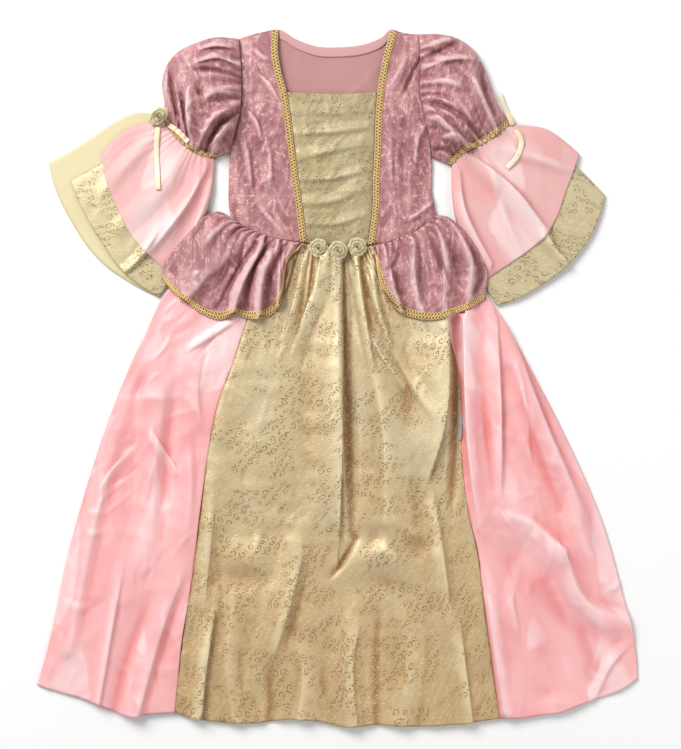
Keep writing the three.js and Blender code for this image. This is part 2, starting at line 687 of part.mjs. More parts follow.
// Height at which a rosette's foot, tilted or not, clears the cloth beneath it
const footProbes = 48;
const probeTurn = 2.4;
const probeReach = 1.5;
function restUnder(beneath, { centre, radius, squash = 1, turn = 0, tilt = [0, 0] }) {
  let rest = 0;
  for (let k = 0; k < footProbes; k += 1) {
    const angle = k * probeTurn;
    const share = Math.sqrt((k + 1) / footProbes);
    const x = radius * share * Math.cos(angle);
    const y = radius * share * squash * Math.sin(angle);
    const aside = x * Math.cos(turn) - y * Math.sin(turn);
    const ahead = x * Math.sin(turn) + y * Math.cos(turn);
    const cloth = highestBeneath(beneath, centre[0] + aside, centre[1] + ahead, probeReach);
    rest = Math.max(rest, cloth - aside * tilt[0] - ahead * tilt[1]);
  }
  return rest + foldClearance;
}

const group = new THREE.Group();
const pieces = {};

function addMesh(name, geometry, finish) {
  const material = new THREE.MeshStandardMaterial({ ...finishes[finish], side: THREE.FrontSide });
  const mesh = new THREE.Mesh(geometry, material);
  mesh.name = name;
  group.add(mesh);
}

function addCloth(name, piece, finish) {
  pieces[name] = piece;
  addMesh(name, wallGeometry(piece.grid), finish);
}

const flat = () => 0;

// Back layer, from the surface up
const bodiceBackColumns = 10;
addCloth("bodice_back", clothPanel({
  edges: {
    left: bodice.right.armSide,
    right: bodice.left.armSide,
    top: backNeck,
    bottom: backWaist,
    topByKnots: true,
  },
  columns: bodiceBackColumns,
  rows: 12,
  thickness: velvet,
  base: flat,
  trims: { topTrim: facingWidth },
}), "velvet");
addCloth("neck_facing", stripOn(pieces.bodice_back, {
  rows: [0, 1],
  columns: [2, bodiceBackColumns - 2],
  thickness: tape,
}), "facing");

// A back piece is raised over the braid that runs beneath its edge
const braidRise = braid + gap;
const sleeveBackColumns = 8;
const sleeveBackRows = 10;
const peplumBackRows = 4;
const peplumBackColumns = 12;
addCloth("peplum_back", clothPanel({
  edges: peplumBackEdges,
  columns: peplumBackColumns,
  rows: peplumBackRows,
  thickness: velvet,
  base: () => braidRise,
  trims: { bottomTrim: peplumBraidWidth },
  inset: waistInset,
}), "velvet");
addCloth("peplum_back_braid", stripOn(pieces.peplum_back, {
  rows: [peplumBackRows - 1, peplumBackRows],
  columns: [0, peplumBackColumns],
  thickness: braid,
  beneath: true,
}), "braid");

// The back of the skirt steps down beyond the hem of the peplum that it lies on
const peplumBackTop = braidRise + velvet;
const peplumBackEnd = 20;
const stepLength = 50;
const skirtRows = 20;
addCloth("skirt_back", clothPanel({
  edges: {
    left: skirt.right.outline,
    right: skirt.left.outline,
    top: skirtBackWaist,
    bottom: skirtBackHem,
  },
  columns: 8,
  rows: skirtRows,
  thickness: satin,
  base: ({ y }) => (peplumBackTop + gap) * clamp01((y - peplumBackEnd) / stepLength + 1),
  inset: waistInset * 2,
}), "pinkSatin");

// Fronts of the skirt
const skirtFloor = satin + foldClearance;
const skirtSideColumns = 10;
const skirtFrontColumns = 20;
for (const side of ["right", "left"]) {
  addCloth(`skirt_side_${side}`, clothPanel({
    edges: {
      left: skirt[side].outline,
      right: skirt[side].seam,
      top: skirt[side].waist,
      bottom: skirt[side].hem,
    },
    columns: skirtSideColumns,
    rows: skirtRows,
    thickness: satin,
    base: ({ u }) => skirtFloor + skirtRoom * swell(u / skirtEdgeShare),
    folds: skirtFolds,
    beneath: [pieces.skirt_back],
    reach: 12,
    topInset: waistInset * 2,
  }), "pinkSatin");
}
addCloth("skirt_front", clothPanel({
  edges: {
    left: skirt.right.seam,
    right: skirt.left.seam,
    top: skirtWaist,
    bottom: skirtHem,
  },
  columns: skirtFrontColumns,
  rows: skirtRows,
  thickness: brocade,
  base: () => skirtFloor + skirtRoom,
  folds: skirtFolds,
  beneath: [pieces.skirt_back],
  reach: 12,
  topInset: waistInset * 2,
}), "goldBrocade");

// Fronts of the bodice
const bodiceFloor = velvet + foldClearance;
const bodiceRows = 14;
const bodiceSideColumns = 8;
for (const side of ["right", "left"]) {
  const held = (v) => armholeLift * arch(v / armholeEnd, armholeArch);
  addCloth(`bodice_side_${side}`, clothPanel({
    edges: {
      left: bodice[side].armSide,
      right: bodice[side].neckSeam,
      top: bodice[side].shoulder,
      bottom: bodice[side].waist,
    },
    columns: bodiceSideColumns,
    rows: bodiceRows,
    thickness: velvet,
    base: ({ u, v }) => {
      const edge = v < armholeEnd ? held(v) : 0;
      const rise = edge + (1 - edge) * swell(u / bodiceEdgeShare);
      return bodiceFloor + bodiceRoom * rise * swell(v / shoulderShare);
    },
    folds: bodiceFolds,
    beneath: [pieces.bodice_back, pieces.neck_facing],
    reach: 8,
    trims: { rightTrim: bodiceBraidWidth },
  }), "velvet");
  addCloth(`bodice_braid_${side}`, stripOn(pieces[`bodice_side_${side}`], {
    rows: [0, bodiceRows],
    columns: [bodiceSideColumns - 1, bodiceSideColumns],
    thickness: braid,
  }), "braid");
}
addCloth("stomacher", clothPanel({
  edges: stomacherEdges,
  columns: 8,
  rows: bodiceRows,
  thickness: brocade,
  base: () => bodiceFloor + bodiceRoom,
  folds: bodiceFolds,
  inset: seamInset * 2,
}), "goldBrocade");

// Puff sleeves, each with a flat back and a domed front
const sleeveColumns = 14;
const sleeveRows = 12;
for (const side of ["right", "left"]) {
  const edges = {
    left: sleeve[side].arm,
    right: sleeve[side].cuff,
    top: sleeve[side].outer,
    bottom: sleeve[side].under,
  };
  addCloth(`sleeve_${side}_back`, clothPanel({
    edges,
    columns: sleeveBackColumns,
    rows: sleeveBackRows,
    thickness: velvet,
    base: ({ onRightTrim }) => (onRightTrim ? braidRise : 0),
    trims: { rightTrim: cuffBraidWidth },
    inset: sleeveInset,
  }), "velvet");
  addCloth(`sleeve_${side}_braid_back`, stripOn(pieces[`sleeve_${side}_back`], {
    rows: [0, sleeveBackRows],
    columns: [sleeveBackColumns - 1, sleeveBackColumns],
    thickness: braid,
    beneath: true,
  }), "braid");
  addCloth(`sleeve_${side}_front`, clothPanel({
    edges,
    columns: sleeveColumns,
    rows: sleeveRows,
    thickness: velvet,
    base: ({ u, v, width }) => {
      const edge = armholeShare * (1 - u) + cuffShare * u;
      const besideBraid = u * width / Math.max(width - cuffBraidWidth, 1);
      const across = edge + (1 - edge) * arch(besideBraid, puffAcross);
      return velvet + braidRise + foldClearance + puffRoom * across * arch(v, puffAround);
    },
    folds: sleeveFolds[side],
    beneath: [pieces[`sleeve_${side}_back`]],
    reach: 5,
    trims: { rightTrim: cuffBraidWidth },
    inset: sleeveInset,
  }), "velvet");
  addCloth(`sleeve_${side}_braid`, stripOn(pieces[`sleeve_${side}_front`], {
    rows: [0, sleeveRows],
    columns: [sleeveColumns - 1, sleeveColumns],
    thickness: braid,
  }), "braid");
}

// Flounces below the cuffs: pink back, gold back, gold front and pink front, upwards
const flounceColumns = 14;
const flounceRows = 6;
const backFlounceColumns = 12;
const backFlounceRows = 3;
for (const side of ["right", "left"]) {
  const cuff = sleeve[side].cuff.slice(1, -1);
  const flounceEdges = ({ outer, inner, hem }) => {
    return { left: outer, right: inner, top: cuff, bottom: hem };
  };
  const rise = ({ u, v }) => flounceRoom * arch(u, flounceArch) * (1 - flounceFall * v);
  const layer = frill + gap;
  addCloth(`flounce_pink_${side}_back`, clothPanel({
    edges: flounceEdges(flounce[side].pink),
    columns: backFlounceColumns,
    rows: backFlounceRows,
    thickness: frill,
    base: flat,
    inset: waistInset,
  }), "paleFrill");
  addCloth(`flounce_gold_${side}_back`, clothPanel({
    edges: flounceEdges(flounce[side].goldBack),
    columns: backFlounceColumns,
    rows: backFlounceRows,
    thickness: frill,
    base: () => layer,
    inset: waistInset,
  }), "goldFrill");
  addCloth(`flounce_gold_${side}_front`, clothPanel({
    edges: flounceEdges(flounce[side].gold),
    columns: flounceColumns,
    rows: flounceRows,
    thickness: frill,
    base: (point) => 2 * layer + gap + rise(point),
    folds: flounceFolds[side],
    beneath: [pieces[`flounce_gold_${side}_back`]],
    reach: 6,
    inset: waistInset,
  }), "goldFrill");
  addCloth(`flounce_pink_${side}_front`, clothPanel({
    edges: flounceEdges(flounce[side].pink),
    columns: flounceColumns,
    rows: flounceRows,
    thickness: frill,
    base: (point) => 3 * layer + gap + rise(point),
    folds: flounceFolds[side],
    beneath: [pieces[`flounce_gold_${side}_front`]],
    reach: 15,
    inset: waistInset,
  }), "paleFrill");
}

// Peplum halves, gathered at the waist and trimmed along the hem
const peplumColumns = 20;
const peplumRows = 9;
for (const side of ["right", "left"]) {
  const beneath = [
    pieces[`bodice_side_${side}`],
    pieces[`bodice_braid_${side}`],
    pieces[`skirt_side_${side}`],
    pieces.skirt_front,
    pieces[`flounce_gold_${side}_front`],
    pieces[`flounce_pink_${side}_front`],
    pieces[`flounce_gold_${side}_back`],
  ];
  addCloth(`peplum_${side}`, clothPanel({
    edges: {
      left: peplum[side].side,
      right: peplum[side].front,
      top: peplum[side].waist,
      bottom: peplum[side].hem,
    },
    columns: peplumColumns,
    rows: peplumRows,
    thickness: velvet,
    base: ({ u, v }) => {
      const rise = arch(v, peplumArch) * swell(u / peplumSideShare);
      return skirtFloor + skirtRoom + peplumRoom * rise;
    },
    folds: peplumFolds,
    beneath,
    reach: 8,
    trims: { bottomTrim: peplumBraidWidth },
  }), "velvet");
  addCloth(`peplum_${side}_braid`, stripOn(pieces[`peplum_${side}`], {
    rows: [peplumRows - 1, peplumRows],
    columns: [0, peplumColumns],
    thickness: braid,
  }), "braid");
}

// Rosettes at the waist and on the wearer's right sleeve
const frontPieces = ["stomacher", "skirt_front", "bodice_braid_right", "bodice_braid_left"];
function addRosette(name, form, beneath) {
  addMesh(name, rosetteGeometry({ ...form, rest: restUnder(beneath, form) }), "rosette");
}
waistRosetteCentres.forEach((centre, k) => {
  const form = { centre, radius: waistRosetteRadius, height: waistRosetteHeight };
  addRosette(`waist_rosette_${k + 1}`, form, frontPieces.map((name) => pieces[name]));
});
const cuffPieces = (side) => [
  pieces[`sleeve_${side}_front`],
  pieces[`sleeve_${side}_braid`],
  pieces[`flounce_gold_${side}_front`],
  pieces[`flounce_pink_${side}_front`],
  pieces[`flounce_gold_${side}_back`],
];
addRosette("sleeve_rosette", {
  centre: sleeveRosetteCentre,
  radius: sleeveRosetteRadius,
  height: sleeveRosetteHeight,
  squash: sleeveRosetteSquash,
  turn: sleeveRosetteTurn,
  tilt: sleeveRosetteTilt,
}, cuffPieces("right"));

// Ribbon tails and the blank label
const tailSteps = 8;
for (const [name, line] of Object.entries(ribbonTails)) {
  const side = name.includes("right") ? "right" : "left";
  addCloth(name, ribbonAlong(line, ribbonWidth, ribbon, cuffPieces(side), tailSteps), "ribbon");
}
const besideSeam = [pieces.skirt_front, pieces.skirt_side_left];
addCloth("seam_label", ribbonAlong(labelLine, labelWidth, tape, besideSeam, tailSteps), "label");

export default group;
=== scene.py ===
"""A child's princess dress lying on its back on a pale floor, finished cloth by cloth.

Lengths in the tables are millimetres, in the frame of the solids: +Y points to the neck, +X to
the wearer's left and +Z up from the floor. Meshes are made in metres.
"""

import math

import bmesh
import bpy
import numpy as np
from bpy.props import FloatProperty, FloatVectorProperty, IntProperty, PointerProperty
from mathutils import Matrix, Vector
from mathutils.bvhtree import BVHTree


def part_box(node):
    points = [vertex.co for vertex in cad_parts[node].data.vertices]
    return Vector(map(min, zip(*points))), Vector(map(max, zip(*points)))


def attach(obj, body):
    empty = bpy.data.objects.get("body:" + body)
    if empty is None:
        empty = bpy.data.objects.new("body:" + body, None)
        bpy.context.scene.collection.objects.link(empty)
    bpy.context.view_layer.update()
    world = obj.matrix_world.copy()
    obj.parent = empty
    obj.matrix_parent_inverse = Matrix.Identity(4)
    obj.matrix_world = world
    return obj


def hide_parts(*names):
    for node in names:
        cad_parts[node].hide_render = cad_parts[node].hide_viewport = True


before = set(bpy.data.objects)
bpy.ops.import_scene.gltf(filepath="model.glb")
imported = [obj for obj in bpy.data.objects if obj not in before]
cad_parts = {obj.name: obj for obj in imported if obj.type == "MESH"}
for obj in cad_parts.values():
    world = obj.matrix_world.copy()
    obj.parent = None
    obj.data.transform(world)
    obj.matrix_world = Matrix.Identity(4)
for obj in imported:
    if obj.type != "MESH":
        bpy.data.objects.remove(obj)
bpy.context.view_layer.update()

bl_info = {
    "name": "Princess Dress",
    "version": (1, 0, 0),
    "blender": (4, 5, 0),
    "location": "3D View > Sidebar > Dress",
    "description": "Makes the cloth, trims and finishes of a child's princess dress",
    "category": "Object",
}

MM = 0.001
BODY = "root"

# ---------------------------------------------------------------------------
# The pattern: edge tables and fold tables, in millimetres
# ---------------------------------------------------------------------------

# Each row is a point, x then y. The left and right edges of a piece hold its corners, and the
# top and bottom edges hold only the points between them.
BODICE = {
    "right": {
        "left": [(-134, 458), (-131, 425), (-130, 393), (-132, 360), (-139, 331), (-146, 304),
                 (-148, 266), (-148, 235), (-144, 209)],
        "right": [(-80, 471), (-81, 441), (-76, 412), (-69, 385), (-63, 347), (-58, 306),
                  (-53, 266), (-47, 225), (-42, 181)],
        "top": [(-108, 466)],
        "bottom": [(-112, 196), (-78, 186)],
    },
    "left": {
        "left": [(109, 464), (111, 428), (110, 390), (116, 356), (124, 323), (127, 289),
                 (127, 255), (130, 234), (134, 216)],
        "right": [(72, 471), (63, 441), (57, 412), (53, 385), (50, 347), (49, 306),
                  (47, 266), (46, 223), (40, 178)],
        "top": [(90, 466)],
        "bottom": [(105, 197), (73, 184)],
    },
}
STOMACHER = {
    "left": BODICE["right"]["right"][3:],
    "right": BODICE["left"]["right"][3:],
    "top": [(-8, 383)],
    "bottom": [(-1, 176)],
}
BODICE_BACK = {
    "left": BODICE["right"]["left"],
    "right": BODICE["left"]["left"],
    "top": [(-108, 466), (-80, 471), (-57, 458), (-28, 448), (3, 447), (32, 450),
            (57, 459), (72, 471), (90, 466)],
    "bottom": [(-92, 189), (-42, 181), (-1, 176), (40, 178), (90, 190)],
}
SLEEVE = {
    "right": {
        "left": BODICE["right"]["left"][:6],
        "right": [(-236, 347), (-220, 324), (-200, 306), (-181, 298), (-167, 296)],
        "top": [(-165, 460), (-193, 452), (-217, 440), (-232, 421), (-238, 396), (-235, 371)],
        "bottom": [(-157, 300)],
    },
    "left": {
        "left": [*BODICE["left"]["left"][:5], (127, 297)],
        "right": [(235, 342), (216, 327), (193, 313), (171, 302), (154, 286)],
        "top": [(138, 464), (163, 458), (184, 443), (197, 421), (207, 394), (217, 369)],
        "bottom": [(140, 292)],
    },
}
GOLD_INNER_EDGE = [(-167, 296), (-173, 236), (-200, 169), (-243, 108)]
FLOUNCE = {
    "right": {
        "pink": {
            "left": [(-236, 347), (-258, 344), (-281, 338), (-302, 323), (-320, 302)],
            "right": [(-167, 296), (-169, 266), (-174, 236), (-185, 205), (-201, 169),
                      (-224, 131)],
            "bottom": [(-316, 274), (-306, 244), (-293, 216), (-277, 188), (-256, 165),
                       (-240, 150)],
        },
        "gold": {
            "left": [(-236, 347), (-278, 317), (-320, 290), (-363, 266)],
            "right": GOLD_INNER_EDGE,
            "bottom": [(-347, 228), (-325, 190), (-301, 154), (-273, 127)],
        },
        "gold_back": {
            "left": [(-236, 347), (-258, 358), (-281, 356), (-305, 344), (-329, 328),
                     (-360, 308), (-392, 290)],
            "right": GOLD_INNER_EDGE,
            "bottom": [(-386, 263), (-373, 231), (-356, 201), (-338, 174), (-316, 151),
                       (-292, 134), (-267, 119)],
        },
    },
    "left": {
        "pink": {
            "left": [(235, 342), (261, 340), (284, 335), (306, 320), (327, 302)],
            "right": [(154, 286), (154, 252), (158, 219), (169, 186), (182, 157), (197, 130)],
            "bottom": [(317, 274), (306, 244), (296, 216), (279, 189), (255, 169), (228, 150)],
        },
        "gold": {
            "left": [(235, 342), (279, 317), (323, 285), (362, 246)],
            "right": [(154, 286), (158, 219), (182, 155), (215, 96)],
            "bottom": [(356, 223), (344, 194), (327, 169), (304, 144), (275, 124), (246, 107)],
        },
        "gold_back": {
            "left": [(235, 342), (277, 314), (319, 283), (357, 246)],
            "right": [(154, 286), (158, 219), (182, 155), (215, 98)],
            "bottom": [(351, 223), (340, 196), (324, 172), (302, 148), (274, 128), (246, 111)],
        },
    },
}
SKIRT_SEAM = {
    "right": [(-78, 185), (-103, 131), (-124, 74), (-142, 20), (-161, -31), (-173, -85),
              (-181, -139), (-188, -193), (-194, -247), (-202, -301), (-211, -355),
              (-216, -404), (-221, -454)],
    "left": [(70, 183), (111, 128), (142, 74), (158, 30), (165, -20), (166, -72),
             (170, -132), (177, -186), (189, -240), (197, -301), (205, -362), (212, -413),
             (219, -462)],
}
SKIRT_SIDE = {
    "right": {
        "left": [(-144, 208), (-180, 174), (-211, 140), (-238, 107), (-256, 70), (-278, 23),
                 (-298, -24), (-319, -82), (-338, -140), (-355, -198), (-370, -256),
                 (-382, -315), (-394, -369), (-408, -418)],
        "right": SKIRT_SEAM["right"],
        "top": [(-112, 196)],
        "bottom": [(-375, -428), (-344, -436), (-313, -448), (-282, -458), (-252, -456)],
    },
    "left": {
        "left": [(134, 215), (159, 174), (185, 135), (209, 100), (234, 61), (259, 14),
                 (289, -42), (317, -99), (340, -150), (359, -198), (373, -244), (385, -290),
                 (397, -335), (404, -373), (406, -410)],
        "right": SKIRT_SEAM["left"],
        "top": [(105, 197)],
        "bottom": [(382, -425), (355, -435), (328, -444), (302, -454), (274, -458),
                   (247, -462)],
    },
}
WAIST = [(-42, 180), (-1, 175), (40, 177)]
SKIRT_FRONT = {
    "left": SKIRT_SEAM["right"],
    "right": SKIRT_SEAM["left"],
    "top": WAIST,
    "bottom": [(-190, -463), (-148, -468), (-105, -468), (-65, -463), (-27, -466),
               (9, -473), (57, -471), (104, -473), (148, -471), (185, -467)],
}
SKIRT_BACK = {
    "left": SKIRT_SIDE["right"]["left"],
    "right": SKIRT_SIDE["left"]["left"],
    "top": [(-92, 188), *WAIST, (90, 189)],
    "bottom": [(-344, -434), (-282, -452), (-221, -450), (-148, -460), (-65, -460),
               (9, -465), (104, -465), (185, -461), (247, -455), (302, -448), (355, -429)],
}
PEPLUM = {
    "right": {
        "left": [(-147, 216), (-163, 223), (-182, 215), (-202, 194), (-223, 170), (-236, 150),
                 (-236, 130)],
        "right": [(-47, 181), (-51, 176), (-55, 171)],
        "top": [(-112, 197), (-78, 186)],
        "bottom": [(-219, 111), (-197, 94), (-178, 82), (-159, 77), (-140, 82), (-120, 78),
                   (-100, 79), (-84, 89), (-74, 107), (-72, 131), (-68, 154)],
    },
    "left": {
        "left": [(134, 219), (150, 216), (166, 202), (181, 184), (193, 162), (202, 136),
                 (198, 105)],
        "right": [(46, 177), (49, 170), (51, 163)],
        "top": [(105, 197), (76, 184)],
        "bottom": [(180, 94), (158, 85), (135, 77), (111, 77), (88, 84), (70, 99), (58, 120),
                   (53, 142)],
    },
}
PEPLUM_BACK = {
    "left": [(-144, 207), (-170, 166), (-192, 123)],
    "right": [(134, 214), (159, 169), (182, 117)],
    "top": [(-92, 188), *WAIST, (90, 189)],
    "bottom": [(-132, 80), (-65, 58), (0, 53), (65, 58), (127, 80)],
}

# Each row is one fold, and its columns are: three points along its line (x and y of each), how
# far it spreads to each side, its height (below 0 for a trough), the share of that height left
# at its start and at its end, and its lean (above 0 it is steep on its left as its line runs).
SKIRT_FOLDS = [
    (-46, 163, -54, 117, -74, 43, 8, 5, 0.5, 0, -0.3),
    (-22, 163, -32, 109, -61, 28, 9, 8, 0.6, 0, -0.5),
    (-1, 166, -7, -31, -3, -231, 27, 13, 0.5, 0.2, 0.7),
    (24, 166, 30, 104, 49, 7, 9, 8, 0.6, 0, 0.2),
    (46, 163, 51, 104, 73, 36, 8, 6, 0.6, 0, 0),
    (38, 63, 68, -72, 68, -228, 32, 9, 0.1, 0.5, -0.2),
    (9, -255, 57, -246, 103, -255, 32, 3.5, 0.2, 0.2, 0),
    (35, 74, 65, 23, 100, -28, 9, 3.5, 0, 0, -0.3),
    (65, 58, 97, -4, 124, -63, 9, 3, 0, 0, -0.3),
    (136, 77, 134, -31, 117, -147, 27, 13, 0.9, 0.1, 0.75),
    (122, -139, 138, -247, 154, -369, 19, 6, 0.3, 0, 0.3),
    (-167, -126, -178, -247, -189, -355, 15, 5, 0, 0.3, 0.3),
    (-165, -301, -180, -369, -190, -462, 15, 7, 0.1, 0.9, 0.6),
    (-46, -188, -70, -301, -111, -423, 27, 9, 0, 0.2, 0.3),
    (-160, -238, -121, -242, -80, -238, 30, 3, 0, 0, 0),
    (-138, -288, -148, -382, -138, -466, 16, 4, 0, 0.9, 0),
    (32, -296, 14, -382, 19, -471, 24, 6, 0, 0.9, 0.3),
    (-51, -355, -43, -409, -51, -466, 19, 5, 0, 0.9, -0.3),
    (89, -301, 100, -382, 86, -471, 24, 5, 0, 0.9, 0),
    (159, -301, 167, -382, 178, -466, 16, 5, 0, 0.9, 0.4),
    (-228, 60, -246, -85, -256, -250, 26, 5, 0.1, 0.2, 0.3),
    (-202, -242, -240, -335, -275, -458, 27, 8, 0, 1, 0.5),
    (-289, -247, -308, -348, -324, -441, 11, 5, 0, 0.9, 0.5),
    (-284, -24, -329, -193, -364, -369, 19, 6, 0.1, 0.5, 0.2),
    (-143, 74, -176, 53, -208, 32, 8, 4, 0.6, 0, 0.5),
    (-256, -69, -234, -103, -212, -136, 9, 5, 0, 0, 0.6),
    (-184, 34, -192, -18, -186, -72, 14, 4, 0.1, 0, 0.4),
    (-329, -158, -302, -123, -270, -88, 8, 3.5, 0, 0, 0.6),
    (-343, -180, -324, -182, -310, -173, 8, 1.4, 0, 0, 0.3),
    (-343, -207, -327, -211, -313, -202, 8, 1.4, 0, 0, 0.3),
    (-205, -58, -200, -166, -213, -247, 16, 4, 0.1, 0, 0.3),
    (-375, -301, -355, -309, -328, -312, 10, 1.6, 0, 0, 0.3),
    (173, 80, 178, -72, 192, -204, 18, 11, 0.9, 0.2, -0.5),
    (212, 82, 216, -31, 219, -174, 16, 8, 0.3, 0.1, 0.6),
    (219, 96, 273, -55, 338, -198, 19, 9, 0.3, 0.1, 0.5),
    (235, 36, 251, -45, 262, -136, 11, 4, 0, 0, 0.4),
    (216, -184, 259, -196, 302, -236, 17, 6, 0.3, 0.9, 0.4),
    (302, -236, 329, -306, 400, -333, 27, 8, 0.9, 0.6, 0.3),
    (318, -150, 326, -210, 352, -262, 24, 5, 0.2, 0.3, 0),
    (402, -355, 370, -387, 348, -431, 11, 4, 0, 0.9, 0.4),
    (202, -247, 211, -342, 227, -452, 16, 6, 0.1, 0.9, -0.3),
    (246, -247, 235, -301, 246, -355, 11, 3, 0, 0, 0.3),
    (362, -267, 370, -288, 383, -274, 7, 2.5, 0, 0, 0),
    (-292, -220, -302, -330, -316, -440, 44, 5, 0.3, 0.6, 0),
]
# Hollows of the skirt beside its folds. They go into the Relief layer before the cloth is lifted
# over the back, so where the lifting fills them they stay only as painted shade
SKIRT_HOLLOWS = [
    (8, 161, 10, -31, 18, -214, 14, -10, 0.7, 0.4, -0.5),
    (23, -218, 5, -252, -14, -274, 7, -7, 0.5, 0.2, 0),
    (-33, 161, -35, 134, -38, 100, 5, -6, 0.8, 0, 0),
    (31, 161, 36, 130, 44, 98, 5, -6, 0.8, 0, 0),
    (7, 163, 8, 120, 9, 60, 5, -5, 0.9, 0.3, 0),
    (-60, 158, -66, 130, -80, 96, 5, -5, 0.8, 0, 0),
    (62, 158, 66, 130, 78, 96, 5, -5, 0.8, 0, 0),
    (-168, -262, -124, -274, -82, -270, 24, -3, 0.3, 0.2, 0),
    (24, -226, 64, -214, 106, -226, 24, -3, 0.3, 0.3, 0),
    (30, -282, 66, -280, 100, -290, 22, -3, 0.3, 0.3, 0),
    (157, 78, 160, -31, 152, -190, 11, -9, 0.9, 0.2, 0),
    (-222, -20, -233, -110, -238, -220, 14, -5, 0.3, 0.3, 0),
    (-256, 14, -267, -11, -277, -36, 12, -4, 0.2, 0.2, 0),
    (240, -252, 272, -312, 286, -416, 46, -18, 0.6, 0.4, 0),
    (288, -280, 322, -346, 350, -420, 34, -14, 0.5, 0.4, 0),
    (232, 10, 262, -80, 300, -180, 10, -5, 0.4, 0.5, 0.3),
    (198, -20, 204, -90, 210, -150, 8, -4, 0.3, 0.3, 0),
    (-252, -300, -284, -380, -302, -448, 14, -5, 0.2, 0.9, 0),
    (-84, -300, -96, -380, -92, -466, 18, -5, 0.2, 0.9, 0),
    (55, -300, 50, -390, 52, -470, 14, -5, 0.2, 0.9, 0),
]
PEPLUM_FOLDS = [
    (-124, 185, -165, 155, -208, 109, 30, 9, 0.2, 0.8, 0.3),
    (-103, 180, -130, 131, -144, 88, 12, 11, 0.5, 0.9, 0.3),
    (-82, 180, -103, 138, -109, 80, 12, 11, 0.5, 0.9, 0.2),
    (-63, 176, -77, 144, -81, 97, 8, 9, 0.5, 0.9, 0),
    (-143, 207, -167, 196, -192, 171, 16, 7, 0.5, 0.4, 0),
    (-111, 181, -135, 144, -163, 93, 5, -5, 0.8, 0.6, 0),
    (-92, 181, -117, 142, -127, 88, 5, -5, 0.8, 0.5, 0),
    (-73, 177, -89, 142, -94, 107, 5, -5, 0.8, 0.3, 0),
    (63, 171, 70, 131, 84, 88, 12, 10, 0.5, 0.8, 0.2),
    (100, 182, 100, 131, 113, 82, 15, 9, 0.5, 0.8, 0.2),
    (154, 204, 177, 155, 176, 107, 14, 11, 0.4, 0.7, 0.2),
    (135, 207, 146, 155, 143, 88, 11, 7, 0.5, 0.6, -0.2),
    (84, 177, 78, 155, 62, 142, 5, -5, 0.8, 0.2, 0),
    (122, 198, 135, 163, 154, 128, 7, -6, 0.9, 0.3, 0),
    (192, 158, 194, 134, 181, 112, 7, -6, 0.3, 0.3, 0),
]
SLEEVE_FOLDS = {
    "right": [
        (-135, 444, -165, 448, -194, 439, 8, 6, 0.4, 0, 0.4),
        (-132, 420, -162, 431, -200, 420, 8, 6, 0.4, 0, 0.4),
        (-131, 404, -165, 412, -211, 414, 5, -5, 0.8, 0, 0),
        (-131, 385, -165, 382, -186, 366, 11, 6, 0.4, 0, 0.2),
        (-132, 370, -167, 347, -189, 312, 9, 8, 0.4, 0.6, 0.3),
        (-135, 358, -159, 339, -178, 306, 5, -6, 0.8, 0.6, 0),
        (-140, 344, -157, 325, -169, 304, 8, 7, 0.4, 0.6, 0),
        (-186, 401, -182, 369, -171, 342, 7, -5, 0.1, 0.1, 0),
        (-197, 315, -200, 352, -198, 398, 9, 8, 0.6, 0, 0.2),
        (-211, 385, -205, 350, -200, 320, 5, -7, 0.1, 0.9, 0),
        (-227, 414, -221, 379, -213, 336, 5, -6, 0.1, 0.9, 0),
        (-230, 425, -232, 387, -225, 350, 8, 6, 0.1, 0.4, 0),
    ],
    "left": [
        (111, 428, 138, 440, 167, 455, 5, -5, 0.8, 0, 0),
        (115, 417, 151, 428, 189, 428, 9, 6, 0.3, 0, -0.3),
        (116, 447, 138, 452, 158, 458, 7, 5, 0.4, 0, 0),
        (192, 423, 198, 387, 211, 355, 7, -6, 0, 0.3, 0),
        (122, 371, 158, 355, 192, 324, 7, -7, 0.2, 0.8, 0),
        (119, 363, 146, 333, 176, 309, 11, 8, 0.3, 0.6, 0.2),
        (178, 412, 192, 374, 213, 333, 9, 8, 0.1, 0.6, 0.2),
        (122, 396, 148, 396, 178, 385, 15, 5, 0.3, 0, 0),
        (130, 320, 154, 320, 181, 310, 7, 6, 0.4, 0.6, 0),
        (130, 306, 146, 306, 161, 296, 5, -5, 0.6, 0.6, 0),
    ],
}
BODICE_FOLDS = [
    (-128, 366, -111, 344, -103, 312, 8, 4, 0.3, 0, 0.3),
    (-116, 414, -94, 396, -78, 369, 8, 4, 0, 0.2, 0.3),
    (-131, 336, -122, 293, -116, 239, 9, 3.5, 0.2, 0, 0.2),
    (-103, 333, -92, 293, -94, 239, 8, 3, 0, 0, 0),
    (-108, 236, -94, 217, -76, 196, 9, 3, 0, 0.5, 0.2),
    (-119, 450, -103, 433, -89, 428, 8, 3, 0.2, 0, 0),
    (112, 431, 100, 409, 86, 377, 5, -4, 0.7, 0.1, 0),
    (97, 439, 86, 417, 68, 385, 9, 4, 0, 0.2, -0.3),
    (122, 347, 108, 320, 103, 271, 8, 3.5, 0.3, 0, 0),
    (92, 369, 88, 293, 92, 204, 8, -3, 0, 0.3, 0),
    (73, 360, 70, 293, 76, 220, 11, 3, 0, 0.1, 0.2),
    (130, 239, 111, 223, 89, 209, 7, 3.5, 0.5, 0, 0),
]
STOMACHER_FOLDS = [
    (-65, 360, -8, 358, 51, 363, 12, 3, 0.3, 0.3, -0.3),
    (-61, 328, -8, 332, 50, 339, 9, 4, 0.3, 0.3, -0.4),
    (-58, 293, -8, 306, 49, 317, 11, 4, 0.3, 0.3, -0.5),
    (-51, 266, -3, 269, 47, 282, 8, 4, 0.2, 0.4, -0.5),
    (-49, 234, -5, 239, 47, 258, 11, 4, 0.4, 0.3, -0.4),
    (-45, 207, -3, 207, 43, 223, 9, 3.5, 0.3, 0.3, -0.4),
]
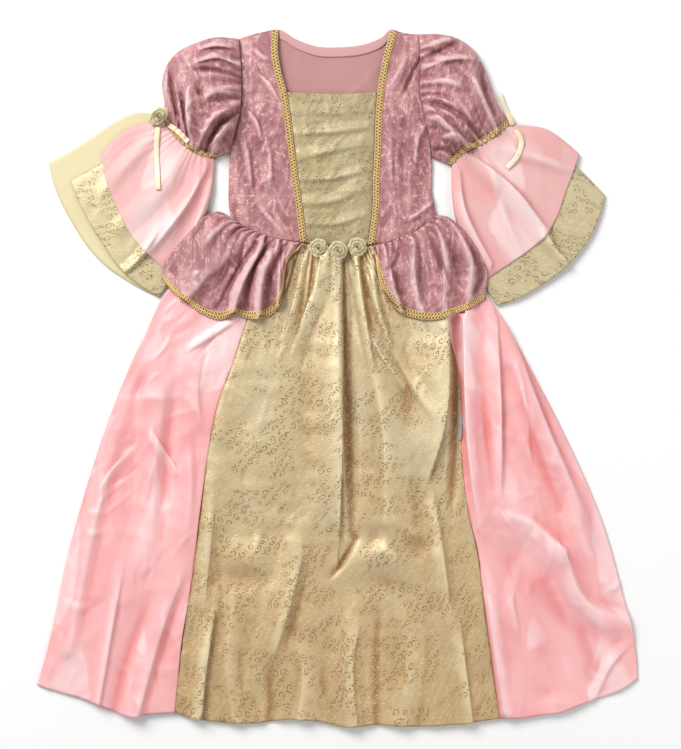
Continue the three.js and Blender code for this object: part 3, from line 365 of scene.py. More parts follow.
FLOUNCE_FOLDS = {
    "right": [
        (-178, 285, -208, 231, -256, 169, 12, 6, 0.3, 0.5, 0.4),
        (-205, 306, -240, 252, -292, 204, 19, 4, 0.2, 0.4, 0),
        (-170, 263, -192, 204, -221, 150, 8, 5, 0.3, 0.5, 0),
        (-243, 333, -278, 296, -316, 252, 16, 3, 0.2, 0.3, 0),
        (-240, 204, -267, 163, -289, 142, 8, 4, 0.1, 0.7, 0.5),
    ],
    "left": [
        (181, 296, 235, 250, 286, 188, 15, 7, 0.4, 0.5, 0.5),
        (162, 277, 170, 220, 205, 153, 12, 6, 0.4, 0.5, 0.4),
        (219, 309, 270, 296, 319, 279, 14, 4, 0.3, 0.4, 0),
        (273, 196, 294, 171, 310, 155, 8, 4, 0.2, 0.8, 0.5),
        (200, 293, 227, 212, 251, 163, 8, 3, 0.2, 0.3, 0),
    ],
}
RIBBONS = {
    "ribbon_right_long": [(-243, 338), (-245, 306), (-242, 252)],
    "ribbon_right_short": [(-228, 340), (-216, 331), (-202, 317)],
    "ribbon_left_up": [(236.5, 341), (228, 362), (219.5, 384)],
    "ribbon_left_down": [(240, 334), (248, 318), (242, 298), (228, 282)],
}
LABEL_LINE = [(165, -48), (166, -66), (165, -85)]
# Centres of the rosettes
WAIST_ROSETTES = [(-26, 174), (0, 171), (26, 176)]
SLEEVE_ROSETTE = (-242, 351)
# Where small creases are scattered on each side of a piece: x from, x to, y from, y to
CREASED = {
    "bodice": {"right": (-140, -50, 190, 460), "left": (50, 135, 190, 460)},
    "skirt": {"right": (-390, -90, -440, 190), "left": (90, 390, -440, 190)},
    "sleeve": {"right": (-235, -135, 300, 455), "left": (115, 225, 295, 455)},
    "peplum": {"right": (-235, -55, 90, 215), "left": (55, 200, 85, 215)},
}


# ---------------------------------------------------------------------------
# Curves, folds and cloth panels
# ---------------------------------------------------------------------------

class Curve:
    """A smooth line through points, measured by its length."""

    def __init__(self, points, by_knots=False):
        self.points = np.array(points, float)
        self.by_knots = by_knots
        shares = np.linspace(0, 1, 201)
        steps = np.linalg.norm(np.diff(self.through(shares), axis=0), axis=1)
        self.shares = shares
        self.lengths = np.concatenate([[0], np.cumsum(steps)])

    def through(self, share):
        last = len(self.points) - 1
        place = np.clip(share, 0, 1) * last
        knot = np.minimum(place.astype(int), last - 1)
        t = (place - knot)[..., None]
        before = self.points[np.maximum(knot - 1, 0)]
        start = self.points[knot]
        end = self.points[knot + 1]
        after = self.points[np.minimum(knot + 2, last)]
        leave = (end - before) / 2
        arrive = (after - start) / 2
        return ((2 * start - 2 * end + leave + arrive) * t ** 3
                + (3 * end - 3 * start - 2 * leave - arrive) * t ** 2 + leave * t + start)

    def at(self, share):
        share = np.asarray(share, float)
        if self.by_knots:
            return self.through(share)
        return self.through(np.interp(share * self.lengths[-1], self.lengths, self.shares))


def swell(t):
    """Rises fast from 0 and levels out at 1."""
    return np.sin(np.clip(t, 0, 1) * np.pi / 2)


def arch(t, power):
    """0 at both ends and 1 between them, fuller as the power falls."""
    return np.maximum(np.sin(np.pi * np.clip(t, 0, 1)), 0) ** power


def smooth_noise(x, y, size, seed):
    """Soft random values between -1 and 1, with a new one about every size millimetres."""
    count = 64
    values = np.random.RandomState(seed).uniform(-1, 1, (count, count))

    def steps(places):
        low = np.floor(places / size).astype(int)
        t = places / size - low
        return low % count, (low + 1) % count, t * t * t * (t * (6 * t - 15) + 10)

    left, right, s = steps(x)
    lower, upper, t = steps(y)
    low = values[lower, left] * (1 - s) + values[lower, right] * s
    high = values[upper, left] * (1 - s) + values[upper, right] * s
    return low * (1 - t) + high * t


def crumple(x, y, size, seed):
    """Sharp wandering creases between soft facets, from -1 to 1."""
    aside = x + 0.45 * size * smooth_noise(x, y, size * 1.3, seed + 1)
    ahead = y + 0.45 * size * smooth_noise(x, y, size * 1.3, seed + 2)
    facets = 1 - 2.4 * np.abs(smooth_noise(aside, ahead, size, seed))
    return facets * (0.65 + 0.35 * smooth_noise(x, y, size * 2.5, seed + 3))


def fold_field(folds, x, y, roll, steps=12):
    """The summed height of folds, and how far they roll over sideways, at places x and y."""
    height = np.zeros_like(x)
    push = np.zeros(x.shape + (2,))
    for x0, y0, x1, y1, x2, y2, spread, rise, start, end, lean in folds:
        line = Curve([(x0, y0), (x1, y1), (x2, y2)]).at(np.linspace(0, 1, steps + 1))
        most = spread * (1 + abs(lean))
        near = ((x > line[:, 0].min() - most) & (x < line[:, 0].max() + most)
                & (y > line[:, 1].min() - most) & (y < line[:, 1].max() + most))
        if not near.any():
            continue
        px, py = x[near], y[near]
        best = np.full(px.shape, np.inf)
        side = np.ones(px.shape)
        along = np.zeros(px.shape)
        left = np.zeros(px.shape + (2,))
        for k in range(steps):
            ax, ay = line[k]
            dx, dy = line[k + 1] - line[k]
            t = np.clip(((px - ax) * dx + (py - ay) * dy) / (dx * dx + dy * dy), 0, 1)
            distance = np.hypot(px - ax - dx * t, py - ay - dy * t)
            closer = distance < best
            best[closer] = distance[closer]
            turned = np.where(dx * (py - ay) - dy * (px - ax) < 0, -1.0, 1.0)
            side[closer] = turned[closer]
            along[closer] = (k + t[closer]) / steps
            left[closer] = np.array([-dy, dx]) / math.hypot(dx, dy)
        reach = np.minimum(best / (spread * (1 - side * lean)), 1)
        shape = (1 + np.cos(np.pi * reach)) / 2
        kept = np.where(along < 0.5, start, end)
        here = rise * (kept + (1 - kept) * np.sin(np.pi * along)) * shape
        height[near] += here
        push[near] += left * (roll * lean * here * shape)[:, None]
    return height, push


def waves(x, y, size, seed, stretch=3.0):
    """Broad soft waves that run down the cloth, from -1 to 1."""
    return smooth_noise(x, y / stretch, size, seed)


def small_folds(seed, count, area, angle, scatter, length, spread, height):
    """Rows for creases scattered over an area (x from, x to, y from, y to), around an angle."""
    chance = np.random.RandomState(seed)
    rows = []
    for _ in range(count):
        x = chance.uniform(area[0], area[1])
        y = chance.uniform(area[2], area[3])
        turn = math.radians(chance.normal(angle, scatter))
        half = length * chance.uniform(0.5, 1.5) / 2
        bend = half * chance.uniform(-0.3, 0.3)
        dx, dy = math.cos(turn) * half, math.sin(turn) * half
        rise = height * chance.uniform(0.35, 1) * chance.choice([-1, 1, 1])
        rows.append((x - dx, y - dy, x - dy / half * bend, y + dx / half * bend, x + dx, y + dy,
                     spread * chance.uniform(0.6, 1.4), rise, 0, 0, chance.uniform(-0.5, 0.5)))
    return rows


def blurred(values, times=1):
    """A grid averaged with its neighbours."""
    for _ in range(times):
        wide = np.pad(values, 1, mode="edge")
        values = (wide[1:-1, 1:-1] * 4 + wide[:-2, 1:-1] + wide[2:, 1:-1] + wide[1:-1, :-2]
                  + wide[1:-1, 2:]) / 8
    return values


# The tree of each finished cloth and braid, by the name of its solid
TREES = {}
# A height in metres that lies above the whole dress
OVERHEAD = 0.2


def highest(names, x, y, beside=0.0):
    """Height in millimetres of the highest piece at a place, or a given one beside them all."""
    best = beside
    for name in names:
        hit = TREES[name].ray_cast(Vector((x * MM, y * MM, OVERHEAD)), Vector((0, 0, -1)))[0]
        if hit is not None:
            best = max(best, hit.z / MM)
    return best


class Sheet:
    """A grid of places on the upper side of a cloth, in millimetres."""

    def __init__(self, x, y, z):
        self.x, self.y, self.z = x, y, z
        self.form = 0
        self.relief = None

    def note_relief(self, depth=3.2):
        """Notes how far each place lies above or below the cloth around it, from -1 to 1, for the
        painted shade and highlights of the finishes.

        The plain form that the folds lie on isn't counted.
        """
        folds = self.z - self.form
        near = blurred(folds, 30)
        far = blurred(near, 160)
        self.relief = np.clip((folds - near) / depth + (near - far) / (depth * 3), -1, 1)

    def points(self):
        return np.stack([self.x, self.y, self.z], axis=-1)

    def cloth_places(self):
        """Where each point lies on the flat cloth, in metres: across from the middle, down."""
        points = self.points()
        across = np.linalg.norm(np.diff(points, axis=1), axis=-1)
        across = np.concatenate([np.zeros((len(points), 1)), np.cumsum(across, axis=1)], axis=1)
        across -= across[:, [across.shape[1] // 2]]
        down = np.linalg.norm(np.diff(points, axis=0), axis=-1)
        down = np.concatenate([np.zeros((1, down.shape[1])), np.cumsum(down, axis=0)], axis=0)
        return np.stack([across, -down], axis=-1) * MM


class Panel(Sheet):
    """A cloth piece between four edge curves, with u across from left to right and v down."""

    def __init__(self, edges, columns, rows, by_knots=False):
        left = Curve(edges["left"])
        right = Curve(edges["right"])
        corners = edges["left"][0], edges["right"][0], edges["left"][-1], edges["right"][-1]
        top = Curve([corners[0], *edges["top"], corners[1]], by_knots)
        bottom = Curve([corners[2], *edges["bottom"], corners[3]])
        self.u, self.v = np.meshgrid(np.linspace(0, 1, columns + 1), np.linspace(0, 1, rows + 1))
        u, v = self.u[..., None], self.v[..., None]
        a, b, c, d = (np.array(corner, float) for corner in corners)
        place = (top.at(self.u) * (1 - v) + bottom.at(self.u) * v
                 + left.at(self.v) * (1 - u) + right.at(self.v) * u
                 - a * (1 - u) * (1 - v) - b * u * (1 - v) - c * (1 - u) * v - d * u * v)
        super().__init__(place[..., 0], place[..., 1], np.zeros_like(self.u))
        self.width = np.linalg.norm(left.at(self.v) - right.at(self.v), axis=-1)
        self.height = np.linalg.norm(top.at(self.u) - bottom.at(self.u), axis=-1)

    def beside(self, edge):
        """Distance from one of the four edges."""
        return {"left": self.u * self.width, "right": (1 - self.u) * self.width,
                "top": self.v * self.height, "bottom": (1 - self.v) * self.height}[edge]

    def fold(self, folds, roll=1.0, hold=(), held=10, steps=12, scale=1.0):
        """Adds folds, whose sideways roll dies out towards the edges in hold."""
        height, push = fold_field(folds, self.x, self.y, roll, steps)
        height, push = height * scale, push * scale
        free = np.ones_like(self.x)
        for edge in hold:
            free *= swell(self.beside(edge) / held)
        self.z += height
        self.x = self.x + push[..., 0] * free
        self.y = self.y + push[..., 1] * free

    def dip(self, edge, depth, spread):
        """Draws the cloth down along an edge, as at a seam."""
        self.z -= depth * np.exp(-(self.beside(edge) / spread) ** 2)

    def gather(self, edge, pitch, depth, fade, seed, wander=0.35):
        """Adds the gathers that run away from an edge, rounded on top and sharp beneath."""
        across = self.u * self.width.mean() if edge in ("top", "bottom") else (
            self.v * self.height.mean())
        away = self.beside(edge)
        moved = across + wander * pitch * smooth_noise(across, away * 0.35, pitch * 2.3, seed)
        lobes = np.abs(np.sin(np.pi * moved / pitch))
        size = 0.65 + 0.35 * smooth_noise(across, away * 0.1, pitch * 1.8, seed + 1)
        self.z += depth * size * (lobes - 0.55) * np.exp(-away / fade)

    def lie_on(self, names, clearance, thickness, reach=1, drape=16):
        """Lifts the cloth over the pieces beneath, and lets it slope away from them."""
        floor = np.array([highest(names, x, y, -np.inf) for x, y in zip(
            self.x.flat, self.y.flat)]).reshape(self.x.shape)
        for _ in range(reach):
            wide = np.pad(floor, 1, mode="edge")
            floor = np.max([wide[1:-1, 1:-1], wide[:-2, 1:-1], wide[2:, 1:-1], wide[1:-1, :-2],
                            wide[1:-1, 2:]], axis=0)
        need = np.maximum(floor + clearance + thickness - self.z, 0)
        lift = need
        for _ in range(drape):
            lift = np.maximum(need, blurred(lift))
        self.z = self.z + lift

    def at(self, u, v, smoothing=0):
        """Places on the panel for shares u and v, between its grid points."""
        z = blurred(self.z, smoothing)
        rows, columns = self.x.shape
        s = np.clip(u, 0, 1) * (columns - 1)
        t = np.clip(v, 0, 1) * (rows - 1)
        i = np.minimum(s.astype(int), columns - 2)
        j = np.minimum(t.astype(int), rows - 2)
        s, t = s - i, t - j
        return np.stack([
            grid[j, i] * (1 - s) * (1 - t) + grid[j, i + 1] * s * (1 - t)
            + grid[j + 1, i] * (1 - s) * t + grid[j + 1, i + 1] * s * t
            for grid in (self.x, self.y, z)], axis=-1)


# ---------------------------------------------------------------------------
# Meshes and pieces
# ---------------------------------------------------------------------------

def blank_mesh():
    """A mesh with layers for its places on the flat cloth and for its hollows and crests, from
    which the finishes paint shade and highlights.
    """
    mesh = bmesh.new()
    mesh.loops.layers.uv.new("UVMap")
    mesh.verts.layers.float.new("Relief")
    return mesh


def add_grid(mesh, points, places, relief=None):
    """Adds a sheet of quads over an array of points in millimetres, facing up."""
    rows, columns = points.shape[:2]
    bmesh.ops.create_grid(mesh, x_segments=columns - 1, y_segments=rows - 1, size=1)
    mesh.verts.ensure_lookup_table()
    mesh.faces.ensure_lookup_table()
    count = rows * columns
    first = len(mesh.verts) - count
    made = mesh.verts[first:]
    for vert, place in zip(made, (points.reshape(-1, 3) * MM).tolist()):
        vert.co = place
    faces = mesh.faces[len(mesh.faces) - (rows - 1) * (columns - 1):]
    if relief is not None:
        heights = mesh.verts.layers.float["Relief"]
        for vert, value in zip(made, relief.reshape(-1).tolist()):
            vert[heights] = value
    mesh.verts.index_update()
    layer = mesh.loops.layers.uv["UVMap"]
    flat = places.reshape(-1, 2).tolist()
    for face in faces:
        for loop in face.loops:
            loop[layer].uv = flat[loop.vert.index - first]
    return made, faces


def face_up(mesh, faces):
    """Turns a sheet over where it faces down."""
    for face in faces:
        face.normal_update()
    if sum(face.normal.z * face.calc_area() for face in faces) < 0:
        bmesh.ops.reverse_faces(mesh, faces=faces)


def add_tube(mesh, line, radius, sides, flatness=1.0):
    """Adds an open tube along an array of points in millimetres, flattened upright.

    Returns its rings, for close_tubes once all the tubes of a mesh are there.
    """
    line = np.asarray(line, float)
    ahead = np.gradient(line, axis=0)
    ahead /= np.linalg.norm(ahead, axis=1)[:, None]
    aside = np.cross(ahead, [0.0, 0.0, 1.0])
    aside /= np.linalg.norm(aside, axis=1)[:, None]
    up = np.cross(aside, ahead)
    turn = np.linspace(0, 2 * np.pi, sides + 1)
    ring = (aside[:, None, :] * np.cos(turn)[None, :, None]
            + up[:, None, :] * (np.sin(turn) * flatness)[None, :, None])
    points = line[:, None, :] + ring * radius
    lengths = np.concatenate([[0], np.cumsum(np.linalg.norm(np.diff(line, axis=0), axis=1))])
    places = np.stack(np.broadcast_arrays(turn[None, :] / (2 * np.pi) * 0.01,
                                          lengths[:, None] * MM), axis=-1)
    made = list(add_grid(mesh, points, places)[0])
    return [made[row * (sides + 1):(row + 1) * (sides + 1)] for row in range(len(line))]


def close_tubes(mesh, tubes):
    """Sews up each tube along its side and caps its ends."""
    bmesh.ops.weld_verts(mesh, targetmap={ring[-1]: ring[0] for tube in tubes for ring in tube})
    for tube in tubes:
        for ring in (tube[0], tube[-1]):
            bmesh.ops.contextual_create(mesh, geom=ring[:-1])


def new_piece(name, mesh, materials, nodes):
    """Makes a finished mesh an object that rides on the dress and stands for its solids."""
    data = bpy.data.meshes.new(name)
    mesh.to_mesh(data)
    mesh.free()
    data.polygons.foreach_set("use_smooth", [True] * len(data.polygons))
    piece = bpy.data.objects.new(name, data)
    bpy.context.scene.collection.objects.link(piece)
    for material in materials:
        data.materials.append(bpy.data.materials[material])
    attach(piece, BODY)
    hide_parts(*nodes)
    return piece


def thicken(piece, thickness, wrong_side=False, rim_wrong=False):
    """Gives a sheet its thickness beneath, with its own finish there."""
    solid = piece.modifiers.new("Cloth thickness", "SOLIDIFY")
    solid.thickness = thickness
    solid.offset = -1
    solid.use_quality_normals = True
    if wrong_side:
        solid.material_offset = 1
        solid.material_offset_rim = 1 if rim_wrong else 0


def cloth_piece(name, node, sheet, materials, thickness, rim_wrong=False):
    """Makes a sheet a piece of cloth, and keeps its tree for what lies on it."""
    mesh = blank_mesh()
    if sheet.relief is None:
        sheet.note_relief()
    _, faces = add_grid(mesh, sheet.points(), sheet.cloth_places(), sheet.relief)
    face_up(mesh, faces)
    TREES[node] = BVHTree.FromBMesh(mesh)
    piece = new_piece(name, mesh, materials, [node])
    thicken(piece, thickness * MM, len(materials) > 1, rim_wrong)


class Band:
    """A strip of a panel beside its right or bottom edge, measured along and across in mm."""

    def __init__(self, panel, edge, width, smoothing=2):
        self.panel = panel
        self.edge = edge
        self.width = width
        self.smoothing = smoothing
        self.shares = np.linspace(0, 1, 401)
        middle = self.along(self.shares, np.zeros(401))
        steps = np.linalg.norm(np.diff(middle, axis=0), axis=1)
        self.lengths = np.concatenate([[0], np.cumsum(steps)])
        self.length = self.lengths[-1]

    def along(self, share, aside):
        """Places at shares of the edge's length, aside from the middle towards the edge."""
        panel = self.panel
        inward = self.width / 2 - aside
        if self.edge == "right":
            size = np.interp(share, panel.v[:, 0], panel.width[:, 0])
            return panel.at(1 - inward / size, share, self.smoothing)
        size = np.interp(share, panel.u[0], panel.height[0])
        return panel.at(share, 1 - inward / size, self.smoothing)

    def place(self, distance, aside, lift):
        share = np.interp(distance, self.lengths, self.shares)
        places = self.along(share, aside)
        places[:, 2] += lift
        return places


# The cords of the braid: how far each lies aside, as a share of half the braid, and where in
# its wave it starts, as a share of the wave
BRAID_CORDS = [(-0.44, 0.0), (-0.44, 0.5), (0.44, 0.25), (0.44, 0.75)]


def braid_piece(name, node, band, beneath=0.0):
    """A flat gold braid: two plaits of two cords, side by side on a darker ground.

    One that lies beneath a cloth of a given thickness is plainer and pressed flat.
    """
    pitch = bpy.context.scene.dress_sizes.braid_pitch / MM
    pressed = 0.3 if beneath else 1.0
    lift = -beneath - 0.85 if beneath else 0.0
    half = band.width / 2
    start, end = 1.0, band.length - 1.0
    mesh = blank_mesh()
    tubes = []

    def cord(aside, sway, start_share, wave, height, weave, steps, radius, sides, flatness):
        """Adds a cord that sways sideways once a wave, and up and down twice."""
        count = max(int((end - start) / wave * steps), 8)
        distance = np.linspace(start, end, count)
        angle = 2 * np.pi * (distance / wave + start_share)
        places = band.place(distance, aside + sway * np.sin(angle),
                            lift + pressed * (height + weave * np.cos(2 * angle)))
        tubes.append(add_tube(mesh, places, radius, sides, flatness))

    cord(0, 0, 0, 9, 0 if beneath else 0.3, 0, 2, half * 0.72, 8, 0.1)
    ground = len(mesh.faces)
    height, steps, sides = (0, 8, 4) if beneath else (0.95, 10, 5)
    for aside, start_share in BRAID_CORDS:
        cord(half * aside, half * 0.43, start_share, pitch, height, 0.4, steps, half * 0.115,
             sides, pressed)
    for face in mesh.faces[:ground]:
        face.material_index = 1
    close_tubes(mesh, tubes)
    bmesh.ops.recalc_face_normals(mesh, faces=mesh.faces[:])
    TREES[node] = BVHTree.FromBMesh(mesh)
    new_piece(name, mesh, ["Antique gold braid", "Braid ground"], [node])


# ---------------------------------------------------------------------------
# Node groups and materials
# ---------------------------------------------------------------------------

def linear(red, green, blue):
    """A screen colour from 0 to 255 as the linear colour that shaders take."""
    return tuple(((c / 255 + 0.055) / 1.055) ** 2.4 if c > 10.3 else c / 255 / 12.92
                 for c in (red, green, blue))


def tint(red, green, blue):
    """A screen colour from 0 to 255 as a shader colour with its alpha."""
    return (*linear(red, green, blue), 1.0)


class Nodes:
    """Adds nodes to a node tree and feeds their sockets by name."""

    def __init__(self, tree):
        self.tree = tree

    def add(self, kind, sockets=None, **settings):
        node = self.tree.nodes.new("ShaderNode" + kind)
        for setting, value in settings.items():
            setattr(node, setting, value)
        for socket, value in (sockets or {}).items():
            self.feed(node.inputs[socket], value)
        return node

    def feed(self, socket, value):
        if isinstance(value, bpy.types.NodeSocket):
            self.tree.links.new(value, socket)
        else:
            socket.default_value = value

    def math(self, operation, a, b=0.0):
        return self.add("Math", {0: a, 1: b}, operation=operation).outputs[0]

    def plus(self, total, *others):
        for other in others:
            total = self.math("ADD", total, other)
        return total

    def minus(self, a, b):
        return self.math("SUBTRACT", a, b)

    def times(self, a, b):
        return self.math("MULTIPLY", a, b)

    def size(self, a):
        return self.math("ABSOLUTE", a)

    def stretched(self, vector, by):
        """A vector times a number or, for a tuple, times one number for each axis."""
        if isinstance(by, tuple):
            return self.add("VectorMath", {0: vector, 1: by}, operation="MULTIPLY").outputs[0]
        return self.add("VectorMath", {0: vector, "Scale": by}, operation="SCALE").outputs[0]

    def shifted(self, vector, by):
        return self.add("VectorMath", {0: vector, 1: by}, operation="ADD").outputs[0]

    def parts(self, vector):
        return self.add("SeparateXYZ", {0: vector}).outputs

    def noise(self, vector, scale, detail=2.0, roughness=0.5, distortion=0.0):
        node = self.add("TexNoise", {"Vector": vector, "Scale": scale, "Detail": detail,
                                     "Roughness": roughness, "Distortion": distortion})
        return node.outputs["Fac"]

    def span(self, value, low, high, to_low=0.0, to_high=1.0):
        """Eases from one result to the other as a value goes from low to high."""
        node = self.add("MapRange", {"Value": value, "From Min": low, "From Max": high,
                                     "To Min": to_low, "To Max": to_high},
                        interpolation_type="SMOOTHSTEP", clamp=True)
        return node.outputs["Result"]

    def mix(self, share, a, b):
        return self.add("Mix", {0: share, 6: a, 7: b}, data_type="RGBA").outputs[2]

    def group(self, name, vector, **values):
        node = self.add("Group")
        node.node_tree = bpy.data.node_groups[name]
        for socket, value in {"Vector": vector, **values}.items():
            self.feed(node.inputs[socket], value)
        return node.outputs


def new_group(name, inputs, outputs):
    """An empty node group with a vector input, number inputs and number outputs."""
    tree = bpy.data.node_groups.new(name, "ShaderNodeTree")
    tree.interface.new_socket("Vector", in_out="INPUT", socket_type="NodeSocketVector")
    for socket, value in inputs.items():
        made = tree.interface.new_socket(socket, in_out="INPUT", socket_type="NodeSocketFloat")
        made.default_value = value
    for socket in outputs:
        tree.interface.new_socket(socket, in_out="OUTPUT", socket_type="NodeSocketFloat")
    given = tree.nodes.new("NodeGroupInput").outputs
    return Nodes(tree), given, tree.nodes.new("NodeGroupOutput").inputs


def weave_group():
    """Over and under threads: Height from 0 to 1, and a slow drift of the yarn's tone."""
    nodes, given, out = new_group("Woven threads", {"Thread": 0.0006, "Slub": 0.3},
                                  ["Height", "Drift"])
    threads = nodes.stretched(given["Vector"], nodes.math("DIVIDE", 1.0, given["Thread"]))
    across, down, _ = nodes.parts(threads)
    warp = nodes.size(nodes.math("SINE", nodes.times(across, math.pi)))
    weft = nodes.size(nodes.math("SINE", nodes.times(down, math.pi)))
    over = nodes.math("PINGPONG", nodes.plus(nodes.math("FLOOR", across),
                                             nodes.math("FLOOR", down)), 1.0)
    upper = nodes.add("Mix", {0: over, 2: warp, 3: weft}, data_type="FLOAT").outputs[0]
    slub = nodes.noise(nodes.stretched(threads, (0.02, 0.5, 0.1)), 1.0, 3.0)
    nodes.feed(out["Height"], nodes.plus(upper, nodes.times(slub, given["Slub"])))
    nodes.feed(out["Drift"], nodes.noise(given["Vector"], 9.0, 2.0))


def scroll_group():
    """Scrolls in metal thread: rows of curls of either hand with a waving stem between rows.

    The cloth is cut into cells, a curl wide, with one curl in each, and each row is shifted.
    Thread is the line of the scrolls, Cluster tells where they stand out from the ground, and
    Fade where they show dark on it.
    """
    nodes, given, out = new_group("Scroll work", {"Curl": 0.014, "Line": 0.05, "Cover": 0.5},
                                  ["Thread", "Cluster", "Fade"])
    row_shift, middle, scatter, windings = 0.37, 0.42, 0.16, 3.1
    cells = nodes.stretched(given["Vector"], nodes.math("DIVIDE", 1.0, given["Curl"]))
    drift = nodes.add("TexNoise", {"Vector": cells, "Scale": 0.35, "Detail": 0.0})
    sway = nodes.stretched(nodes.shifted(drift.outputs["Color"], (-0.5, -0.5, -0.5)), 1.1)
    across, down, _ = nodes.parts(nodes.shifted(cells, sway))
    row = nodes.math("FLOOR", down)
    along = nodes.plus(across, nodes.times(row, row_shift))
    column = nodes.math("FLOOR", along)
    cell = nodes.add("CombineXYZ", {0: column, 1: row}).outputs[0]
    dice = nodes.add("TexWhiteNoise", {"Vector": cell}, noise_dimensions="2D")
    chance = nodes.add("SeparateColor", {0: dice.outputs["Color"]}).outputs

    aside, ahead = (nodes.minus(nodes.minus(place, low), nodes.plus(
        nodes.times(luck, scatter), middle))
        for place, low, luck in ((along, column, chance[0]), (down, row, chance[1])))
    spoke = nodes.add("CombineXYZ", {0: aside, 1: ahead}).outputs[0]
    radius = nodes.add("VectorMath", {0: spoke}, operation="LENGTH").outputs["Value"]
    angle = nodes.math("DIVIDE", nodes.math("ARCTAN2", ahead, aside), math.tau)
    hand = nodes.math("SIGN", nodes.minus(chance[2], 0.5))
    winding = nodes.minus(nodes.times(radius, windings), nodes.times(angle, hand))
    phase = nodes.math("FRACT", nodes.plus(winding, chance[1], 4.0))
    off = nodes.math("DIVIDE", nodes.size(nodes.minus(phase, 0.5)), windings)
    thin = nodes.times(given["Line"], 0.45)
    curl = nodes.times(nodes.span(off, given["Line"], thin), nodes.span(radius, 0.42, 0.38))
    bud = nodes.span(radius, 0.07, 0.04)

    between = nodes.minus(nodes.math("FRACT", nodes.plus(down, 0.5)), 0.5)
    wave = nodes.times(nodes.math("SINE", nodes.times(along, math.tau)), 0.12)
    stem = nodes.times(nodes.span(nodes.size(nodes.minus(between, wave)), given["Line"], thin),
                       nodes.math("GREATER_THAN", chance[0], 0.25))
    nodes.feed(out["Thread"], nodes.math("MAXIMUM", nodes.math("MAXIMUM", curl, bud), stem))

    patches = nodes.noise(nodes.shifted(nodes.stretched(cells, (0.55, 1.5, 1.0)),
                                        (31.0, 7.0, 0)), 0.2, 1.0)
    low = nodes.minus(0.66, nodes.times(given["Cover"], 0.32))
    nodes.feed(out["Cluster"], nodes.span(patches, low, nodes.plus(low, 0.12)))
    fade = nodes.noise(nodes.shifted(cells, (3.0, 57.0, 0)), 0.33, 2.0)
    nodes.feed(out["Fade"], nodes.span(fade, 0.4, 0.52))


def nap_group():
    """Crushed pile: Nap from 0, brushed away, to 1, brushed up, painted glints where the crushed
    pile catches the light, and its Height.
    """
    nodes, given, out = new_group("Crushed pile", {"Patch": 0.016}, ["Nap", "Painted glint", "Height"])
    size = nodes.stretched(given["Vector"], nodes.math("DIVIDE", 1.0, given["Patch"]))
    slanted = nodes.stretched(size, (1.3, 0.5, 1.0))
    broad = nodes.noise(slanted, 0.5, 1.0, 0.4, 1.2)
    creased = nodes.noise(nodes.shifted(slanted, (5.0, 8.0, 2.0)), 1.1, 1.0, 0.5, 0.9)
    fine = nodes.noise(nodes.shifted(size, (9.0, 4.0, 2.0)), 3.0, 2.0, 0.55, 0.8)
    grain = nodes.noise(nodes.shifted(size, (2.0, 6.0, 1.0)), 8.0, 3.0, 0.7, 0.5)
    ridge = nodes.span(nodes.size(nodes.minus(creased, 0.5)), 0.14, 0.0)
    nap = nodes.plus(nodes.times(broad, 0.5), nodes.times(fine, 0.2), nodes.times(ridge, 0.1),
                     nodes.times(grain, 0.2))
    nodes.feed(out["Nap"], nodes.span(nap, 0.38, 0.62))
    # Painted glints: bright flecks along the crushed creases and in the grain
    lit = nodes.times(nodes.span(fine, 0.5, 0.64), nodes.span(ridge, 0.1, 0.8))
    nodes.feed(out["Painted glint"], nodes.math(
        "MAXIMUM", nodes.times(lit, nodes.span(grain, 0.42, 0.6)),
        nodes.times(nodes.span(grain, 0.56, 0.68), nodes.span(broad, 0.44, 0.6))))
    nodes.feed(out["Height"], nodes.plus(nodes.times(ridge, 0.35), nodes.times(broad, 0.9),
                                         nodes.times(grain, 0.16), nodes.times(fine, 0.35)))


def new_material(name, values):
    """A material with its shader, its values and the cloth's own places."""
    material = bpy.data.materials.new(name)
    material.use_nodes = True
    tree = material.node_tree
    shader = tree.nodes["Principled BSDF"]
    for socket, value in values.items():
        shader.inputs[socket].default_value = value
    nodes = Nodes(tree)
    places = nodes.add("UVMap", uv_map="UVMap").outputs[0]
    return nodes, shader, places


def bump(nodes, shader, height, strength, distance, under=None):
    """Raises the surface by a height, on top of an earlier bump where one is given."""
    node = nodes.add("Bump", {"Height": height, "Strength": strength, "Distance": distance})
    if under is not None:
        nodes.feed(node.inputs["Normal"], under)
    nodes.feed(shader.inputs["Normal"], node.outputs[0])
    return node.outputs[0]


def painted_fold_shading(nodes, tone, deep, painted_highlight, painted_shade_share, painted_highlight_share):
    """Paints shade in the cloth's hollows and paints highlights on its crests, as its Relief
    layer tells them.
    """
    relief = nodes.add("Attribute", attribute_name="Relief").outputs["Fac"]
    # Painted shade: the deep tone where the cloth lies below the cloth around it
    low = nodes.times(nodes.span(relief, -0.05, -0.85), painted_shade_share)
    # Painted highlight: the light tone where the cloth stands above the cloth around it
    high = nodes.times(nodes.span(relief, 0.1, 0.9), painted_highlight_share)
    return nodes.mix(high, nodes.mix(low, tone, deep), painted_highlight)


def velvet_material(name, dark, middle, light):
    nodes, shader, places = new_material(name, {
        "Sheen Weight": 0.4, "Sheen Roughness": 0.35, "Sheen Tint": tint(255, 222, 228),
        "Specular IOR Level": 0.4})
    pile = nodes.group("Crushed pile", places, Patch=0.023)
    threads = nodes.group("Woven threads", places, Thread=0.0007, Slub=0.4)
    tone = nodes.mix(pile["Nap"], dark, middle)
    # Painted glints of the crushed pile, in the light tone that also paints highlights on the
    # crests below
    tone = nodes.mix(nodes.times(pile["Painted glint"], 0.75), tone, light)
    tone = nodes.mix(nodes.times(threads["Drift"], 0.15), tone, light)
    # Painted shade in the hollows, in a deep rose, and painted highlights on the crests
    tone = painted_fold_shading(nodes, tone, tint(112, 46, 54), light, 0.5, 0.6)
    nodes.feed(shader.inputs["Base Color"], tone)
    nodes.feed(shader.inputs["Roughness"], nodes.span(pile["Nap"], 0, 1, 0.6, 0.48))
    first = bump(nodes, shader, pile["Height"], 0.5, 0.0019)
    bump(nodes, shader, threads["Height"], 0.12, 0.0002, first)


